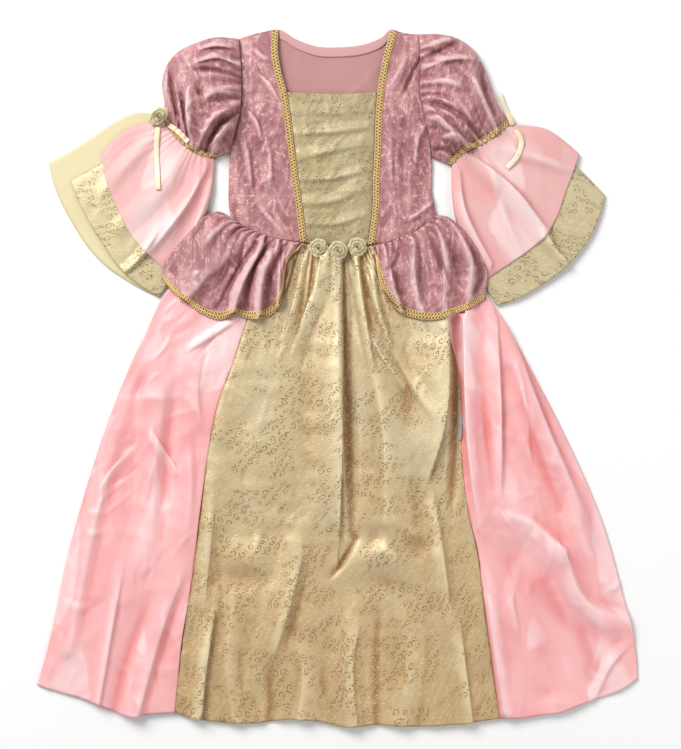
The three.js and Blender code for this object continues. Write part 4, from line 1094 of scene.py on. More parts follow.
def matt_material(name, colour, shade, thread, roughness):
    nodes, shader, places = new_material(name, {"Roughness": roughness,
                                                "Sheen Weight": 0.15, "Sheen Roughness": 0.6})
    threads = nodes.group("Woven threads", places, Thread=thread, Slub=0.5)
    tone = nodes.mix(threads["Drift"], shade, colour)
    fuzz = nodes.noise(places, 900.0, 2.0)
    tone = nodes.mix(nodes.times(fuzz, 0.2), tone, shade)
    nodes.feed(shader.inputs["Base Color"], tone)
    bump(nodes, shader, threads["Height"], 0.3, 0.0003)


def satin_material(name, colour, shade, deep, roughness, crease, metallic):
    nodes, shader, places = new_material(name, {
        "Sheen Weight": 0.1, "Sheen Roughness": 0.4, "Specular IOR Level": 0.6,
        "Metallic": metallic})
    threads = nodes.group("Woven threads", places, Thread=0.0004, Slub=0.6)
    tone = nodes.mix(threads["Drift"], shade, colour)
    # Broad patches where the satin is painted with reflection and with shade
    cells = nodes.add("TexVoronoi", {"Vector": nodes.stretched(places, (1.7, 0.5, 1.0)),
                                     "Scale": 13.0, "Smoothness": 0.2}, feature="SMOOTH_F1")
    facet = nodes.parts(cells.outputs["Color"])[0]
    drift = nodes.noise(nodes.stretched(places, (1.6, 0.7, 1.0)), 7.0, 1.0, 0.4, 0.6)
    lying = nodes.plus(nodes.times(drift, 0.8), nodes.times(facet, 0.2))
    # A paler pink for the painted reflections and highlights
    light = tuple(0.5 + 0.5 * part for part in colour[:3]) + (1,)
    tone = nodes.mix(nodes.span(lying, 0.5, 0.6, 0.0, 0.55), tone, light)
    # Painted shade in patches, in the deep tone
    tone = nodes.mix(nodes.span(lying, 0.44, 0.36, 0.0, 0.28), tone, deep)
    # Painted shade in the hollows and painted highlights on the crests
    tone = painted_fold_shading(nodes, tone, deep, light, 0.8, 0.6)
    nodes.feed(shader.inputs["Base Color"], tone)
    slip = nodes.noise(nodes.stretched(places, (1.0, 0.35, 1.0)), 120.0, 3.0)
    nodes.feed(shader.inputs["Roughness"], nodes.span(slip, 0.2, 0.8, roughness,
                                                      roughness + 0.1))
    wrinkles = nodes.noise(places, 42.0, 2.0, 0.5, 0.8)
    first = bump(nodes, shader, wrinkles, crease, 0.0022)
    bump(nodes, shader, threads["Height"], 0.06, 0.0001, first)


def brocade_material(name, ground, shade, thread_light, thread_dark, curl, cover):
    roughness, thread_roughness = 0.48, 0.25
    nodes, shader, places = new_material(name, {"Sheen Weight": 0.1, "Sheen Roughness": 0.4,
                                                "Metallic": 0.25})
    scroll = nodes.group("Scroll work", places, Curl=curl, Line=0.062, Cover=cover)
    threads = nodes.group("Woven threads", places, Thread=0.0008, Slub=0.8)
    tone = nodes.mix(nodes.span(threads["Drift"], 0.35, 0.65, 0.55, 1.0), shade, ground)
    rib = nodes.times(nodes.noise(nodes.stretched(places, (60.0, 700.0, 1.0)), 1.0, 1.0), 0.4)
    tone = nodes.mix(rib, tone, shade)
    # Painted shade: darker towards the hem, where less light falls
    down = nodes.parts(places)[1]
    tone = nodes.mix(nodes.span(down, -0.2, -0.62, 0.0, 0.7), tone, shade)
    # Painted shade in the hollows, in warm brown, and painted highlights on the crests
    tone = painted_fold_shading(nodes, tone, tint(150, 98, 44), tint(246, 230, 190), 0.85, 0.55)
    glint = nodes.span(nodes.noise(places, 620.0, 1.0), 0.48, 0.58)
    shown = nodes.times(scroll["Cluster"], nodes.span(scroll["Fade"], 0, 1, 0.3, 1.0))
    metal = nodes.mix(nodes.minus(1.0, nodes.times(shown, nodes.span(glint, 0, 1, 1.0, 0.72))),
                      thread_dark, thread_light)
    broken = nodes.times(glint, nodes.span(scroll["Cluster"], 0, 1, 0.55, 0.9))
    seen = nodes.times(scroll["Thread"], nodes.math("MAXIMUM", shown, broken))
    nodes.feed(shader.inputs["Base Color"], nodes.mix(seen, tone, metal))
    nodes.feed(shader.inputs["Roughness"], nodes.span(seen, 0, 1, roughness,
                                                      thread_roughness))
    wrinkles = nodes.noise(nodes.stretched(places, (0.6, 1.5, 1.0)), 40.0, 2.0, 0.5, 0.5)
    first = bump(nodes, shader, wrinkles, 0.16, 0.002)
    second = bump(nodes, shader, scroll["Thread"], 0.35, 0.0004, first)
    bump(nodes, shader, threads["Height"], 0.12, 0.0002, second)


def braid_material():
    nodes, shader, places = new_material("Antique gold braid", {"Specular IOR Level": 0.5,
                                                                "Metallic": 0.15})
    around, along, _ = nodes.parts(places)
    twist = nodes.plus(nodes.times(around, 100.0), nodes.times(along, 900.0))
    ply = nodes.size(nodes.math("SINE", nodes.times(twist, math.pi)))
    painted_glint_specks = nodes.noise(places, 1300.0, 2.0)
    # Painted highlight on the crest of each ply and painted shade in the grooves between them
    tone = nodes.mix(nodes.span(ply, 0.1, 0.7), tint(222, 176, 88), tint(255, 226, 142))
    # Painted glints: pale specks
    tone = nodes.mix(nodes.span(painted_glint_specks, 0.52, 0.66), tone, tint(255, 246, 204))
    nodes.feed(shader.inputs["Base Color"], tone)
    nodes.feed(shader.inputs["Roughness"], nodes.span(painted_glint_specks, 0.3, 0.7, 0.42, 0.24))
    bump(nodes, shader, ply, 0.6, 0.0005)


def floor_material():
    nodes, shader, _ = new_material("Pale floor", {"Roughness": 0.9, "Specular IOR Level": 0.1})
    places = nodes.add("TexCoord").outputs["Object"]
    dust = nodes.noise(places, 3.0, 3.0)
    tone = nodes.mix(dust, (0.90, 0.90, 0.895, 1), (0.93, 0.93, 0.925, 1))
    nodes.feed(shader.inputs["Base Color"], tone)


# ---------------------------------------------------------------------------
# Settings
# ---------------------------------------------------------------------------

def colour_setting(name, description, red, green, blue):
    return FloatVectorProperty(name=name, description=description, subtype="COLOR", size=3,
                               min=0, max=1, default=linear(red, green, blue))


class DressSizes(bpy.types.PropertyGroup):
    """Sizes that a maker would change."""

    velvet: FloatProperty(name="Velvet thickness", description="Thickness of the pile cloth",
                          default=0.0014, unit="LENGTH")
    brocade: FloatProperty(name="Brocade thickness", description="Thickness of the gold cloth",
                           default=0.0011, unit="LENGTH")
    satin: FloatProperty(name="Satin thickness", description="Thickness of the skirt's satin",
                         default=0.0008, unit="LENGTH")
    frill: FloatProperty(name="Frill thickness", description="Thickness of the thin flounces",
                         default=0.0007, unit="LENGTH")
    braid_pitch: FloatProperty(name="Braid pitch", description="Length of one plait of braid",
                               default=0.0088, unit="LENGTH")
    curl: FloatProperty(name="Scroll size", description="Size of one curl of the brocade",
                        default=0.0125, unit="LENGTH")
    crease: FloatProperty(name="Small creases", description="How deep the small creases are",
                          default=1.0, min=0, max=3)
    petals: IntProperty(name="Rosette folds", description="Folds in one turn of a rosette",
                        default=5, min=3, max=9)


class DressColours(bpy.types.PropertyGroup):
    """Colours of the cloths."""

    velvet: colour_setting("Velvet", "Middle tone of the crushed velvet", 193, 135, 135)
    # Painted highlight of the velvet, on its glints and crests, and the pale tone its colour
    # drifts towards at random
    velvet_highlight_and_drift: colour_setting("Velvet light", "Where the pile lies up", 240, 206, 206)
    velvet_dark: colour_setting("Velvet dark", "Where the pile lies away", 146, 86, 90)
    satin: colour_setting("Satin", "Pink of the skirt's sides", 249, 187, 186)
    satin_shade: colour_setting("Satin shade", "Deeper pink of the satin", 242, 171, 171)
    brocade: colour_setting("Brocade", "Ground of the gold brocade", 206, 193, 157)
    # Also painted as shade towards the hem of the skirt's gold front
    brocade_shade: colour_setting("Brocade shade", "Deeper ground of the brocade", 200, 166, 116)
    frill: colour_setting("Pale frill", "Pink of the thin flounces", 226, 178, 174)
    gold_frill: colour_setting("Gold frill", "Gold of the thin flounces", 213, 198, 163)


def rgba(colour):
    return (*colour, 1.0)


# ---------------------------------------------------------------------------
# Making the pieces
# ---------------------------------------------------------------------------

SIDES = ("right", "left")
# Heights of the cloths on the solids' form and widths of the braids, in millimetres
SKIRT_TOP = 8.0
BODICE_FLOOR = 2.3
BODICE_ROOM = 5.2
SLEEVE_FLOOR = 3.8
PUFF_ROOM = 33
FRILL_LAYER = 1.3
CUFF_BRAID = 8
EDGE_BRAID = 9.5
# Thickness of the ribbon in metres
RIBBON = 0.0004


# Matt finishes: colour, shade, distance between threads in metres, and roughness
MATT_FINISHES = {
    "Velvet wrong side": ((192, 143, 141), (178, 126, 125), 0.0009, 0.85),
    "Neck facing": ((210, 162, 160), (198, 147, 146), 0.0007, 0.7),
    "Brocade wrong side": ((222, 206, 166), (204, 184, 140), 0.0008, 0.85),
    "Gold frill wrong side": ((228, 217, 176), (214, 199, 154), 0.0008, 0.6),
    "Braid ground": ((140, 92, 40), (108, 66, 28), 0.0006, 0.6),
    "Label tape": ((176, 174, 174), (156, 154, 154), 0.0005, 0.85),
}
# Deep pink painted as shade in the satin's hollows and patches
PINK_PAINTED_SHADE = (228, 134, 133)
# Satin finishes: colour, the deeper tone it drifts to at random, the tone of the painted shade in
# hollows and patches, roughness, depth of wrinkles, and metal
SATIN_FINISHES = {
    "Pink satin wrong side": ((246, 190, 193), (238, 176, 180), PINK_PAINTED_SHADE, 0.5, 0.25, 0.1),
    "Pale frill wrong side": ((244, 200, 198), (238, 190, 188), PINK_PAINTED_SHADE, 0.55, 0.15, 0.0),
    "Rosette satin": ((222, 214, 174), (202, 192, 148), (130, 104, 62), 0.42, 0.3, 0.0),
    "Cream ribbon": ((238, 218, 176), (224, 200, 152), (190, 160, 110), 0.45, 0.15, 0.05),
}


class DRESS_OT_finishes(bpy.types.Operator):
    """Makes the finishes of every cloth and trim"""

    bl_idname = "dress.finishes"
    bl_label = "Make finishes"

    def execute(self, context):
        c = context.scene.dress_colours
        weave_group()
        scroll_group()
        nap_group()
        velvet_material("Crushed velvet", rgba(c.velvet_dark), rgba(c.velvet),
                        rgba(c.velvet_highlight_and_drift))
        for name, (colour, shade, thread, roughness) in MATT_FINISHES.items():
            matt_material(name, tint(*colour), tint(*shade), thread, roughness)
        # The third colour of each satin is its painted shade
        satin_material("Pink satin", rgba(c.satin), rgba(c.satin_shade), tint(*PINK_PAINTED_SHADE),
                       roughness=0.46, crease=0.12, metallic=0.1)
        satin_material("Pale frill", rgba(c.frill), tint(222, 168, 165), tint(222, 140, 140),
                       roughness=0.56, crease=0.15, metallic=0.0)
        for name, (colour, shade, deep, *values) in SATIN_FINISHES.items():
            satin_material(name, tint(*colour), tint(*shade), tint(*deep), *values)
        brocade_material("Gold brocade", rgba(c.brocade), rgba(c.brocade_shade),
                         tint(246, 236, 200), tint(134, 102, 56),
                         context.scene.dress_sizes.curl, cover=1.0)
        # The stomacher's brocade is the gold brocade painted darker, as painted shade
        brocade_material("Stomacher brocade in painted shade", tint(180, 166, 128), tint(164, 144, 102),
                         tint(238, 230, 196), tint(128, 104, 62), curl=0.0115, cover=0.95)
        brocade_material("Gold frill", rgba(c.gold_frill), tint(196, 178, 132),
                         tint(244, 236, 200), tint(132, 108, 64), curl=0.012, cover=1.4)
        braid_material()
        floor_material()
        return {"FINISHED"}


class DRESS_OT_bodice(bpy.types.Operator):
    """Makes the back, the neck facing, the sides, the stomacher and the braids of the bodice"""

    bl_idname = "dress.bodice"
    bl_label = "Make bodice"

    def execute(self, context):
        sizes = context.scene.dress_sizes
        velvet = sizes.velvet / MM
        back = Panel(BODICE_BACK, 90, 96, by_knots=True)
        back.z += velvet
        back.fold(small_folds(seed=11, count=26, area=(-120, 120, 190, 430), angle=70,
                              scatter=40, length=60, spread=9, height=1.2), roll=0)
        back.z = np.maximum(back.z, velvet)
        back.z += 0.25 * crumple(back.x, back.y, 24, 12) ** 2
        cloth_piece("bodice_back_cloth", "bodice_back", back,
                    ["Velvet wrong side", "Crushed velvet"], velvet, True)
        self.facing(back)
        for side in SIDES:
            panel = Panel(BODICE[side], 60, 150)
            held = 0.7 * arch(panel.v / 0.6, 0.5) * (panel.v < 0.6)
            rise = held + (1 - held) * swell(panel.u / 0.5)
            panel.z += 1.8 + BODICE_FLOOR + BODICE_ROOM * rise * swell(panel.v / 0.15)
            panel.form = panel.z.copy()
            seed, lean = {"right": (21, 55), "left": (22, 125)}[side]
            scattered = small_folds(seed=seed, count=40, area=CREASED["bodice"][side],
                                    angle=lean, scatter=32, length=34, spread=5,
                                    height=1.5 * sizes.crease)
            panel.fold(BODICE_FOLDS, 0.9, ("left", "right"), scale=1.4)
            panel.fold(scattered, 0.6, ("left", "right"), steps=6)
            free = swell((panel.beside("right") - 6) / 12)
            panel.z += sizes.crease * free * (0.8 * crumple(panel.x, panel.y, 16, 31)
                                              + 0.4 * crumple(panel.x, panel.y, 8, 32))
            panel.dip("right", 0.7, 3)
            panel.dip("bottom", 1.2, 5)
            panel.note_relief()
            panel.lie_on(["bodice_back"], 0.5, velvet)
            cloth_piece(f"bodice_front_{side}", f"bodice_side_{side}", panel,
                        ["Crushed velvet", "Velvet wrong side"], velvet)
            braid_piece(f"bodice_braid_{side}_cords", f"bodice_braid_{side}",
                        Band(panel, "right", EDGE_BRAID))
        self.stomacher(sizes)
        return {"FINISHED"}

    def facing(self, back):
        """The tape that binds the back neck inside, a little raised along its middle."""
        width, thickness, gap = 13, 0.9, 0.45
        u, v = np.meshgrid(np.linspace(0.2, 0.8, 100), np.linspace(0, 1, 9))
        height = np.interp(u, back.u[0], back.height[0])
        points = back.at(u, v * width / height, 2)
        points[..., 2] += gap + thickness + 0.2 * np.sin(np.pi * v)
        cloth_piece("neck_facing_tape", "neck_facing",
                    Sheet(points[..., 0], points[..., 1], points[..., 2]),
                    ["Neck facing"], thickness)

    def stomacher(self, sizes):
        panel = Panel(STOMACHER, 60, 100)
        panel.z += 8.9
        panel.form = panel.z.copy()
        panel.fold(STOMACHER_FOLDS, 0.2, ("left", "right", "top"), scale=0.7)
        panel.fold(small_folds(seed=25, count=26, area=(-65, 55, 180, 380), angle=8,
                               scatter=30, length=34, spread=6, height=0.9 * sizes.crease),
                   0.4, ("left", "right", "top"), steps=6)
        panel.z += 0.5 * sizes.crease * crumple(panel.x, panel.y, 18, 33)
        for edge in ("left", "right"):
            panel.dip(edge, 0.6, 3)
        panel.dip("bottom", 1.0, 4)
        panel.note_relief(3.0)
        cloth_piece("stomacher_cloth", "stomacher", panel,
                    ["Stomacher brocade in painted shade", "Brocade wrong side"], sizes.brocade / MM)


class DRESS_OT_skirt(bpy.types.Operator):
    """Makes the back, the two pink sides and the gold front of the skirt"""

    bl_idname = "dress.skirt"
    bl_label = "Make skirt"

    def execute(self, context):
        sizes = context.scene.dress_sizes
        satin = sizes.satin / MM
        back = Panel(SKIRT_BACK, 120, 110)
        back.z += 3.6 * np.clip((back.y - 20) / 50 + 1, 0, 1) + satin
        floor = back.z.copy()
        back.fold(small_folds(seed=41, count=60, area=(-380, 380, -440, 180), angle=90,
                              scatter=22, length=120, spread=11, height=1.6), roll=0, steps=6)
        back.gather("top", pitch=13, depth=2.0, fade=45, seed=42)
        back.z += 0.5 * crumple(back.x, back.y, 34, 43)
        back.z = np.clip(back.z, floor, floor + 2.6)
        back.z -= (back.z - floor) * np.exp(-np.minimum(back.beside("left"),
                                                        back.beside("right")) / 14)
        cloth_piece("skirt_back_cloth", "skirt_back", back,
                    ["Pink satin wrong side", "Pink satin"], satin, True)
        for side in SIDES:
            panel = Panel(SKIRT_SIDE[side], 80, 210)
            rise = swell(panel.u / 0.35)
            panel.z += 2.8 + (SKIRT_TOP - 2.8) * rise
            panel.form = panel.z.copy()
            self.crease(panel, side, sizes)
            panel.dip("right", 0.9, 3)
            panel.gather("top", pitch=12, depth=4.0, fade=40, seed=51)
            # Hollows that the lifting below fills stay only as painted shade, through the relief
            # noted here
            panel.fold(SKIRT_HOLLOWS, 0)
            panel.note_relief(4.0)
            panel.lie_on(["skirt_back"], 0.4, satin)
            cloth_piece(f"skirt_side_{side}_cloth", f"skirt_side_{side}", panel,
                        ["Pink satin", "Pink satin wrong side"], satin)
        front = Panel(SKIRT_FRONT, 150, 215)
        front.z += SKIRT_TOP
        front.fold(SKIRT_FOLDS, 1.1, ("bottom",), scale=1.45)
        inside = swell(np.minimum(front.beside("left"), front.beside("right")) / 25)
        front.z += sizes.crease * inside * (
            2.4 * waves(front.x, front.y, 34, 73)
            + 0.8 * waves(front.y, front.x, 15, 74, 2.2) * np.sin(np.pi * front.v) ** 2)
        front.fold(small_folds(seed=57, count=90, area=(-200, 200, -450, 160), angle=88,
                               scatter=26, length=62, spread=7, height=1.0 * sizes.crease),
                   0.6, ("left", "right", "bottom"), steps=6)
        front.z += 0.6 * sizes.crease * crumple(front.x, front.y, 30, 58)
        front.gather("top", pitch=13, depth=5.5, fade=60, seed=59, wander=0.5)
        for edge in ("left", "right"):
            front.dip(edge, 0.9, 3)
        # Hollows that the lifting below fills stay only as painted shade, through the relief
        # noted here
        front.fold(SKIRT_HOLLOWS, 0)
        front.note_relief(4.5)
        front.lie_on(["skirt_back"], 0.4, sizes.brocade / MM)
        cloth_piece("skirt_front_cloth", "skirt_front", front,
                    ["Gold brocade", "Brocade wrong side"], sizes.brocade / MM)
        return {"FINISHED"}

    def crease(self, panel, side, sizes):
        """Adds the folds and creases of a pink side, small ones mostly near the waist."""
        seed, sign = {"right": (53, -1), "left": (54, 1)}[side]
        panel.fold(SKIRT_FOLDS, 0.7, ("left",), scale=1.15)
        many = small_folds(seed=seed, count=110, area=CREASED["skirt"][side],
                           angle=90 + sign * 16, scatter=30, length=58, spread=6,
                           height=1.3 * sizes.crease)
        panel.fold(many, 0.7, ("left", "right"), steps=6)
        near_waist = np.exp(-panel.v / 0.3)
        x, y = panel.x, panel.y
        panel.z += sizes.crease * swell(panel.beside("left") / 30) * (
            3.0 * waves(x + sign * y * 0.25, y, 38, 57) + 1.0 * crumple(x, y, 46, 58)
            + (0.3 + 1.3 * near_waist) * crumple(x, y, 25, 55)
            + 0.4 * near_waist * crumple(x, y, 12, 56))


class DRESS_OT_sleeves(bpy.types.Operator):
    """Makes the puff sleeves and the braids of their cuffs"""

    bl_idname = "dress.sleeves"
    bl_label = "Make sleeves"

    def execute(self, context):
        sizes = context.scene.dress_sizes
        velvet = sizes.velvet / MM
        for side in SIDES:
            seed = 61 if side == "right" else 67
            back = Panel(SLEEVE[side], 44, 44)
            on_braid = np.clip(1 - (back.beside("right") - CUFF_BRAID) / 6, 0, 1)
            back.z += velvet + 1.5 * on_braid
            floor = back.z.copy()
            back.gather("left", pitch=11, depth=1.6, fade=24, seed=seed)
            back.gather("right", pitch=10, depth=1.6, fade=24, seed=seed + 1)
            back.z = np.clip(back.z, floor, floor + 1.6)
            cloth_piece(f"sleeve_{side}_back_cloth", f"sleeve_{side}_back", back,
                        ["Velvet wrong side", "Crushed velvet"], velvet, True)
            front = Panel(SLEEVE[side], 92, 88)
            self.puff(front, side, seed, sizes)
            front.note_relief(4.2)
            front.lie_on([f"sleeve_{side}_back"], 0.5, velvet)
            cloth_piece(f"sleeve_{side}_puff", f"sleeve_{side}_front", front,
                        ["Crushed velvet", "Velvet wrong side"], velvet)
            braid_piece(f"sleeve_{side}_cuff_cords", f"sleeve_{side}_braid",
                        Band(front, "right", CUFF_BRAID, 10))
            braid_piece(f"sleeve_{side}_cuff_back_cords", f"sleeve_{side}_braid_back",
                        Band(back, "right", CUFF_BRAID), velvet)
        return {"FINISHED"}

    def puff(self, panel, side, seed, sizes):
        """Fills out the front of a sleeve, flat at its seams, and adds its folds and creases."""
        edge = 0.16 * (1 - panel.u) + 0.2 * panel.u
        beside_braid = panel.u * panel.width / np.maximum(panel.width - CUFF_BRAID, 1)
        across = edge + (1 - edge) * arch(beside_braid, 0.7)
        panel.z += 1.8 + SLEEVE_FLOOR + PUFF_ROOM * across * arch(panel.v, 0.6)
        panel.form = panel.z.copy()
        full = arch(panel.v, 0.5)
        before = panel.z.copy()
        panel.gather("left", pitch=12, depth=8.5, fade=36, seed=seed + 2, wander=0.6)
        panel.gather("right", pitch=10, depth=8.5, fade=34, seed=seed + 3, wander=0.6)
        panel.z = before + (panel.z - before) * full
        panel.fold(SLEEVE_FOLDS[side], 0.9, ("top", "bottom", "left", "right"), 8, scale=1.4)
        free = full * swell((panel.beside("right") - 5) / 10)
        before = panel.z.copy()
        panel.fold(small_folds(seed=seed + 4, count=36, area=CREASED["sleeve"][side],
                               angle=10 if side == "right" else 170, scatter=40, length=26,
                               spread=4.5, height=1.6 * sizes.crease),
                   0.6, ("top", "bottom", "left", "right"), steps=6)
        panel.z += sizes.crease * (1.3 * crumple(panel.x, panel.y, 17, seed + 5)
                                   + 0.5 * crumple(panel.x, panel.y, 8, seed + 6))
        panel.z = before + (panel.z - before) * free


class DRESS_OT_flounces(bpy.types.Operator):
    """Makes the pink and gold flounces below the cuffs"""

    bl_idname = "dress.flounces"
    bl_label = "Make flounces"

    def execute(self, context):
        sizes = context.scene.dress_sizes
        frill = sizes.frill / MM
        for side in SIDES:
            seed = 71 if side == "right" else 77
            cuff = SLEEVE[side]["right"][1:-1]
            pink = ["Pale frill", "Pale frill wrong side"]
            gold = ["Gold frill", "Gold frill wrong side"]
            parts = [
                ("pink", "back", "pink", "pale_frill", pink[::-1]),
                ("gold", "back", "gold_back", "gold_frill", gold[::-1]),
                ("gold", "front", "gold", "gold_frill", gold),
                ("pink", "front", "pink", "pale_frill", pink),
            ]
            for layer, (colour, face, edges, slot, materials) in enumerate(parts):
                front = face == "front"
                panel = Panel({**FLOUNCE[side][edges], "top": cuff}, 84 if front else 60,
                              70 if front else 44)
                low = FRILL_LAYER * layer + (0.3 if front else 0)
                panel.z += low + 1.0
                if front:
                    panel.z += 6 * arch(panel.u, 0.6) * (1 - 0.4 * panel.v)
                    panel.form = panel.z.copy()
                    panel.gather("top", pitch=12, depth=3.2, fade=40, seed=seed, wander=0.5)
                    panel.fold(FLOUNCE_FOLDS[side], 0.8, ("left", "right", "bottom"), scale=1.5)
                    panel.z += 0.45 * sizes.crease * crumple(panel.x, panel.y, 26, seed + 1) * (
                        swell(panel.u / 0.1) * swell((1 - panel.u) / 0.1))
                    panel.note_relief(4.5)
                    under = "front" if colour == "pink" else "back"
                    panel.lie_on([f"flounce_gold_{side}_{under}"], 0.35, frill)
                else:
                    panel.z = np.maximum(panel.z - 0.3, frill + low)
                name = f"flounce_{colour}_{side}_{face}"
                cloth_piece(f"{name}_cloth", name, panel, materials, frill, not front)
        return {"FINISHED"}


class DRESS_OT_peplums(bpy.types.Operator):
    """Makes the peplums below the waist and the braids of their hems"""

    bl_idname = "dress.peplums"
    bl_label = "Make peplums"

    def execute(self, context):
        sizes = context.scene.dress_sizes
        velvet = sizes.velvet / MM
        back = Panel(PEPLUM_BACK, 80, 40)
        back.z += 1.5 + velvet
        cloth_piece("peplum_back_cloth", "peplum_back", back,
                    ["Velvet wrong side", "Crushed velvet"], velvet, True)
        braid_piece("peplum_back_cords", "peplum_back_braid", Band(back, "bottom", EDGE_BRAID),
                    velvet)
        for side in SIDES:
            seed = 81 if side == "right" else 87
            panel = Panel(PEPLUM[side], 116, 74)
            panel.z += 8.7 + 4 * arch(panel.v, 0.5) * swell(panel.u / 0.15)
            panel.form = panel.z.copy()
            free = swell((panel.beside("bottom") - 5) / 12)
            before = panel.z.copy()
            panel.gather("top", pitch=13, depth=9.0, fade=46, seed=seed, wander=0.6)
            panel.z = before + (panel.z - before) * (0.25 + 0.75 * free)
            panel.fold(PEPLUM_FOLDS, 0.9, ("left", "right", "bottom"), scale=1.4)
            before = panel.z.copy()
            panel.fold(small_folds(seed=seed + 2, count=36, area=CREASED["peplum"][side],
                                   angle=80, scatter=35, length=28, spread=5,
                                   height=1.5 * sizes.crease),
                       0.6, ("left", "right", "bottom"), steps=6)
            panel.z += sizes.crease * (1.2 * crumple(panel.x, panel.y, 17, seed + 3)
                                       + 0.5 * crumple(panel.x, panel.y, 8, seed + 4))
            panel.z = before + (panel.z - before) * free
            names = [f"bodice_side_{side}", f"bodice_braid_{side}", f"skirt_side_{side}",
                     "skirt_front", f"flounce_gold_{side}_front", f"flounce_pink_{side}_front",
                     f"flounce_gold_{side}_back", "stomacher"]
            panel.note_relief(4.2)
            panel.lie_on(names, 0.5, velvet, reach=2, drape=20)
            cloth_piece(f"peplum_{side}_cloth", f"peplum_{side}", panel,
                        ["Crushed velvet", "Velvet wrong side"], velvet)
            braid_piece(f"peplum_{side}_cords", f"peplum_{side}_braid",
                        Band(panel, "bottom", EDGE_BRAID))
        return {"FINISHED"}


class DRESS_OT_rosettes(bpy.types.Operator):
    """Makes the rosettes of wound ribbon at the waist and on the right sleeve"""

    bl_idname = "dress.rosettes"
    bl_label = "Make rosettes"

    def execute(self, context):
        petals = context.scene.dress_sizes.petals
        for k, centre in enumerate(WAIST_ROSETTES):
            name = f"waist_rosette_{k + 1}"
            self.rosette(name, centre, radius=13, height=7, squash=1, turn=0.3 * k,
                         tilt=(0, 0), petals=petals, seed=90 + k)
        self.rosette("sleeve_rosette", SLEEVE_ROSETTE, radius=15, height=8, squash=0.64,
                     turn=0.6, tilt=(0.6, 0.25), petals=petals, seed=95)
        return {"FINISHED"}

    def rosette(self, node, centre, radius, height, squash, turn, tilt, petals, seed):
        """A wound ribbon in the middle of two rings of petals, squashed, turned and tilted."""
        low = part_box(node)[0][2] / MM
        cos, sin = math.cos(turn), math.sin(turn)
        lean_x = tilt[0] * cos + tilt[1] * sin
        lean_y = tilt[1] * cos - tilt[0] * sin
        rest = low + math.hypot(radius * lean_x, radius * squash * lean_y)
        mesh = blank_mesh()

        def place(local):
            x, y = local[..., 0], local[..., 1] * squash
            aside, ahead = x * cos - y * sin, x * sin + y * cos
            z = rest + local[..., 2] + aside * tilt[0] + ahead * tilt[1]
            return np.stack([centre[0] + aside, centre[1] + ahead, z], axis=-1)

        chance = np.random.RandomState(seed)
        turns = 2.6
        angle = np.linspace(0, 2 * np.pi * turns, 120)
        share = angle / angle[-1]
        v = np.linspace(0, 1, 6)
        angle, v = np.meshgrid(angle, v)
        share = np.broadcast_to(share, angle.shape)
        folds = np.abs(np.sin(angle * petals / 2 + 0.8 * share))
        foot = 0.03 * radius + 0.55 * radius * share
        flare = v ** 1.5 * radius * (0.28 * share - 0.02) * (0.75 + 0.45 * folds)
        crown = height * (1 - 0.35 * share ** 2) * (0.86 + 0.14 * folds)
        wound = np.stack([(foot + flare) * np.cos(angle), (foot + flare) * np.sin(angle),
                          0.4 + v * crown], axis=-1)
        self.add_ribbon(mesh, place(wound))
        for ring, (count, reach, rise) in enumerate(((petals + 2, 1.0, 0.3),
                                                     (petals + 1, 0.78, 0.62))):
            for k in range(count):
                middle = 2 * np.pi * (k + 0.5 * ring) / count + chance.uniform(-0.15, 0.15)
                half = np.pi / count * 1.45
                s, t = np.meshgrid(np.linspace(-1, 1, 9), np.linspace(0, 1, 7))
                width = 1 - 0.22 * t ** 4
                out = radius * (0.02 + (1.04 * reach - 0.02) * t * (1 - 0.1 * s * s * t))
                around = middle + s * half * width
                lift = height * (rise * np.sin(np.pi * np.clip(t, 0.0, 0.92)) ** 0.6 * 0.75
                                 + 0.1 - 0.1 * np.abs(s) + 0.06 * (k % 2)) + 0.4
                lift *= chance.uniform(0.88, 1.12)
                petal = np.stack([out * np.cos(around), out * np.sin(around), lift], axis=-1)
                self.add_ribbon(mesh, place(petal))
        piece = new_piece(f"{node}_ribbon", mesh, ["Rosette satin"], [node])
        thicken(piece, RIBBON)
        smooth = piece.modifiers.new("Soft folds", "SUBSURF")
        smooth.levels = smooth.render_levels = 1

    def add_ribbon(self, mesh, points):
        rows, columns = points.shape[:2]
        places = np.stack(np.meshgrid(np.linspace(0, 0.09, columns), np.linspace(0, 0.012, rows)),
                          axis=-1)
        _, faces = add_grid(mesh, points, places)
        face_up(mesh, faces)


